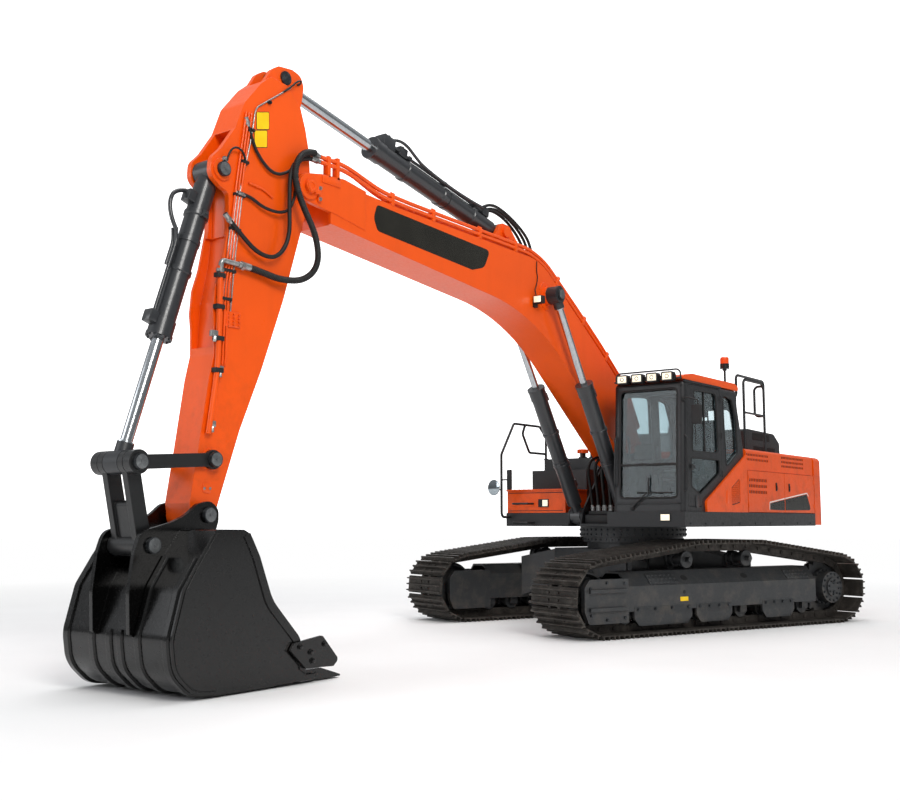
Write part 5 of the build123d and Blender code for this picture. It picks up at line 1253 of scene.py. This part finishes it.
def chain_pins():
    """The chain's pins as (x, z): along the ground, round the idler, over the top, round the sprocket."""
    radius, low, top = 0.35, 0.09, 0.98
    carriers = {1: 0.50, -1: -0.52}
    slope = {}
    for sign, carrier in carriers.items():
        dx, dz = AXLE_X - sign * carrier, top - WHEEL_Z
        slope[sign] = math.atan2(dz, dx) - math.asin(radius / math.hypot(dx, dz))
    line = [Vector((-AXLE_X, low)), Vector((AXLE_X, low))]
    for sign, start in ((1, -math.pi / 2), (-1, math.pi / 2 + slope[-1])):
        if sign < 0:
            line += [Vector((carriers[1], top)), Vector((carriers[-1], top))]
        for k in range(1 if sign > 0 else 0, 61):
            t = start + (math.pi - slope[sign]) * k / 60
            line.append(Vector((sign * AXLE_X + radius * math.cos(t), WHEEL_Z + radius * math.sin(t))))
    lengths = [0.0]
    for a, b in zip(line, line[1:]):
        lengths.append(lengths[-1] + (b - a).length)
    pins = []
    for k in range(SHOES):
        at = lengths[-1] * k / SHOES
        i = next(i for i, length in enumerate(lengths) if i and length >= at - 1e-9)
        pins.append(line[i - 1].lerp(line[i], (at - lengths[i - 1]) / (lengths[i] - lengths[i - 1])))
    return pins


def under_done(build, name, material, slot=None):
    """Turn a piece from the undercarriage's own axes to where it stands at rest."""
    for v in build.mesh.verts:
        v.co = UNDER @ v.co
    build.done(name, material, "undercarriage", slot=slot)


def shoe_bolts():
    """Four bolts in each shoe, between its ribs, and the ends of the chain's pins."""
    bolts, ends = Build(), Build()
    pins = chain_pins()
    for k, pin in enumerate(pins):
        after = pins[(k + 1) % SHOES]
        run = (after - pin).normalized()
        pitch = (after - pin).length
        out = Vector((run.y, -run.x))
        middle = (pin + after) / 2
        for side in (1, -1):
            for along_it in (-0.19, 0.19):
                for y in (-0.083, 0.083):
                    p = middle + run * (along_it * pitch) + out * 0.0535
                    bolts.disc((p.x, side * TRACK_Y + y, p.y), (out.x, 0, out.y), 0.014, 0.014, 6)
            for y in (-0.105, 0.105):
                ends.disc((pin.x, side * TRACK_Y + y, pin.y), (0, math.copysign(1, y), 0), 0.023, 0.010, 16)
    under_done(bolts, "shoe_bolts", SHOE)
    under_done(ends, "chain_pin_ends", SHOE)


def frame_steps():
    """Step plates with studs on the frames' sloping tops, lifting eyes and a hole drawn as dark plates of
    painted shade, and the blank plate.
    """
    plates, hole_shade, label = Build(), Build(), Build()
    across = Vector((0, -0.14, 0.16)).normalized()
    for side in (1, -1):
        slope = Vector((0, side * across.y, across.z))
        foot = Vector((0, side * FRAME_SIDE, 0.560))
        u = Vector((-side, 0, 0))
        normal = u.cross(slope)
        for x0, x1 in ((0.755, 1.207), (-1.524, -1.115)):
            square = ((x0, 0.015), (x1, 0.015), (x1, 0.165), (x0, 0.165))
            corners = round_corners([(-side * x, s, 0.02) for x, s in square])
            if side > 0:
                corners.reverse()
            plates.plate(corners, foot, u, slope, 0.012, 0.003)
            for i in range(7):
                for j in range(3):
                    along_x = Vector((x0 + (x1 - x0) * (i + 0.5) / 7, 0, 0))
                    at = foot + along_x + slope * (0.040 + j * 0.05) + normal * 0.012
                    plates.disc(at, normal, 0.015, 0.007, 8, top=0.010)
        # dark plates in the lifting eyes and in a hole on the side: painted shade
        for x in (0.623, -0.390):
            oval = [(-side * x + 0.052 * math.cos(t), 0.095 + 0.038 * math.sin(t)) for t in around(28)]
            hole_shade.plate(oval, foot, u, slope, 0.0015)
        hole_shade.disc((0.677, side * (FRAME_SIDE - 0.002), 0.473), (0, side, 0), 0.022, 0.004, 24)
    label.side_plate(((0.616, 0.368, 0.008), (0.743, 0.368, 0.008), (0.743, 0.418, 0.008),
                      (0.616, 0.418, 0.008)),
                     FRAME_SIDE, FRAME_SIDE + 0.002, 0)
    under_done(plates, "frame_steps", GREY)
    under_done(hole_shade, "frame_hole_shade", MATT, slot="dark")
    under_done(label, "frame_label", YELLOW)


def roller_guards():
    """Guards that hang over the track rollers, with their bolts, and bolts of the idler's cover."""
    guards, bolts = Build(), Build()
    for x0, x1 in ((0.561, 1.461), (-0.108, 0.487), (-1.217, -0.640)):
        rows = ((x0, 0.330, 0), (x0, 0.200, 0.02), (x0 + 0.07, 0.115, 0.03), (x1 - 0.07, 0.115, 0.03),
                (x1, 0.200, 0.02), (x1, 0.330, 0))
        for side in (1, -1):
            guards.side_plate(rows, side * (FRAME_SIDE - 0.028), side * (FRAME_SIDE + 0.004), 0.003)
            for k in range(4):
                x = x0 + 0.06 + (x1 - x0 - 0.12) * k / 3
                bolts.bolt((x, side * (FRAME_SIDE + 0.004), 0.300), (0, side, 0), 0.016, 0.012)
    for side in (1, -1):
        for x, z in ((1.60, 0.22), (1.60, 0.60), (1.86, 0.205), (1.86, 0.61), (2.09, 0.26), (2.10, 0.55)):
            bolts.bolt((x, side * FRAME_SIDE, z), (0, side, 0), 0.015, 0.012)
    under_done(guards, "roller_guards", GREY)
    under_done(bolts, "frame_bolts", PIN)


def final_drive_bolts():
    """Bolt circles and plugs on the final drives' covers."""
    bolts = Build()
    for side in (1, -1):
        for count, radius, y, size in ((18, 0.214, 1.430, 0.012), (14, 0.170, 1.560, 0.013),
                                       (8, 0.092, 1.585, 0.010)):
            for t in around(count, 0.25):
                at = (-AXLE_X + radius * math.cos(t), side * y, WHEEL_Z + radius * math.sin(t))
                bolts.bolt(at, (0, side, 0), size, 0.010)
        for z in (0.50, 0.38):
            bolts.disc((-AXLE_X, side * 1.585, z), (0, side, 0), 0.022, 0.010, 24, bevel=0.003)
    under_done(bolts, "final_drive_bolts", PIN)


lamps()
cab_front()
cab_sides()
cab_inside()
mirrors()
side_trim()
hood_trim()
deck_trim()
right_steps()
shoe_bolts()
frame_steps()
roller_guards()
final_drive_bolts()


# Stage, camera and light

def emissive(name, colour, strength, fade=None):
    """A glowing backdrop, or a pale floor that fades to the backdrop's white far away."""
    made = Shader(name, colour, 0.75)
    if fade:
        split = made.node("ShaderNodeVectorMath", operation="DISTANCE")
        made.link(made.place, split.inputs[0])
        split.inputs[1].default_value = FLOOR_MIDDLE
        glow = made.node("ShaderNodeEmission")
        glow.inputs["Color"].default_value = (1, 1, 1, 1)
        glow.inputs["Strength"].default_value = strength
        both = made.node("ShaderNodeMixShader")
        made.link(made.span(split.outputs["Value"], *fade), both.inputs[0])
        made.link(made.shader.outputs[0], both.inputs[1])
        made.link(glow.outputs[0], both.inputs[2])
        made.link(both.outputs[0], made.tree.nodes["Material Output"].inputs["Surface"])
        made.colour(made.mix(made.ramp(made.noise(0.6, 6), [(0.35, 0.0), (0.75, 1.0)]), colour,
                             tuple(c * 0.96 for c in colour[:3]) + (1,)))
    else:
        made.shader.inputs["Emission Color"].default_value = (1, 1, 1, 1)
        made.shader.inputs["Emission Strength"].default_value = strength
    return made.material


STAGE_RADIUS = 80
FLOOR_MIDDLE = (3.5, 0.0, 0.0)
FLOOR = emissive("floor", (0.86, 0.86, 0.86, 1), 1.0, (5.5, 15.0))
SKY = emissive("backdrop", (1, 1, 1, 1), 1.0)


def stage_piece(name, build, material):
    mesh = bpy.data.meshes.new(name)
    build.to_mesh(mesh)
    build.free()
    piece = bpy.data.objects.new(name, mesh)
    mesh.materials.append(material)
    bpy.context.scene.collection.objects.link(piece)
    return piece


floor_mesh = bmesh.new()
bmesh.ops.create_circle(floor_mesh, cap_ends=True, segments=96, radius=STAGE_RADIUS - 1)
stage_piece("floor", floor_mesh, FLOOR)
dome_mesh = bmesh.new()
bmesh.ops.create_uvsphere(dome_mesh, u_segments=64, v_segments=32, radius=STAGE_RADIUS)
dome = stage_piece("backdrop", dome_mesh, SKY)
for ray in ("diffuse", "glossy", "shadow", "transmission"):
    setattr(dome, "visible_" + ray, ray == "transmission")

camera_data = bpy.data.cameras.new("camera")
camera_data.lens = CAMERA_LENS
camera_data.sensor_width = SENSOR
camera_data.clip_end = 5 * STAGE_RADIUS
camera = bpy.data.objects.new("camera", camera_data)
camera.location = CAMERA_AT
camera.rotation_euler = (math.radians(90 + CAMERA_PITCH), 0, math.radians(CAMERA_YAW - 90))
bpy.context.scene.collection.objects.link(camera)
bpy.context.scene.camera = camera


def area_light(name, at, aim, size, power, colour=(1, 1, 1)):
    data = bpy.data.lights.new(name, "AREA")
    data.shape = "RECTANGLE"
    data.size, data.size_y = size
    data.energy = power
    data.color = colour
    light = bpy.data.objects.new(name, data)
    light.location = at
    light.rotation_euler = (Vector(aim) - Vector(at)).to_track_quat("-Z", "Y").to_euler()
    bpy.context.scene.collection.objects.link(light)


area_light("key", (14, 16, 14), (2.5, 0, 2), (8, 8), 2600, (1.0, 0.98, 0.95))
area_light("fill", (20, -8, 7), (4, 0, 2), (10, 8), 700, (0.95, 0.97, 1.0))
area_light("top", (2, 0, 17), (2, 0, 0), (16, 10), 1500)
area_light("back", (-12, -10, 9), (0, 0, 2), (10, 6), 700)

# the sky: bright above and dim towards the ground, so that glossy paint has something to mirror
world = bpy.data.worlds.new("studio")
world.use_nodes = True
tree = world.node_tree
background = tree.nodes["Background"]
direction = tree.nodes.new("ShaderNodeTexCoord")
split = tree.nodes.new("ShaderNodeSeparateXYZ")
tree.links.new(direction.outputs["Generated"], split.inputs[0])
rise = tree.nodes.new("ShaderNodeMapRange")
for socket, value in (("From Min", -0.15), ("From Max", 0.6), ("To Min", 0.08), ("To Max", 0.50)):
    rise.inputs[socket].default_value = value
tree.links.new(split.outputs["Z"], rise.inputs["Value"])
tree.links.new(rise.outputs[0], background.inputs["Strength"])
background.inputs["Color"].default_value = (0.95, 0.97, 1.0, 1)
bpy.context.scene.world = world
bpy.context.scene.view_settings.view_transform = "Standard"
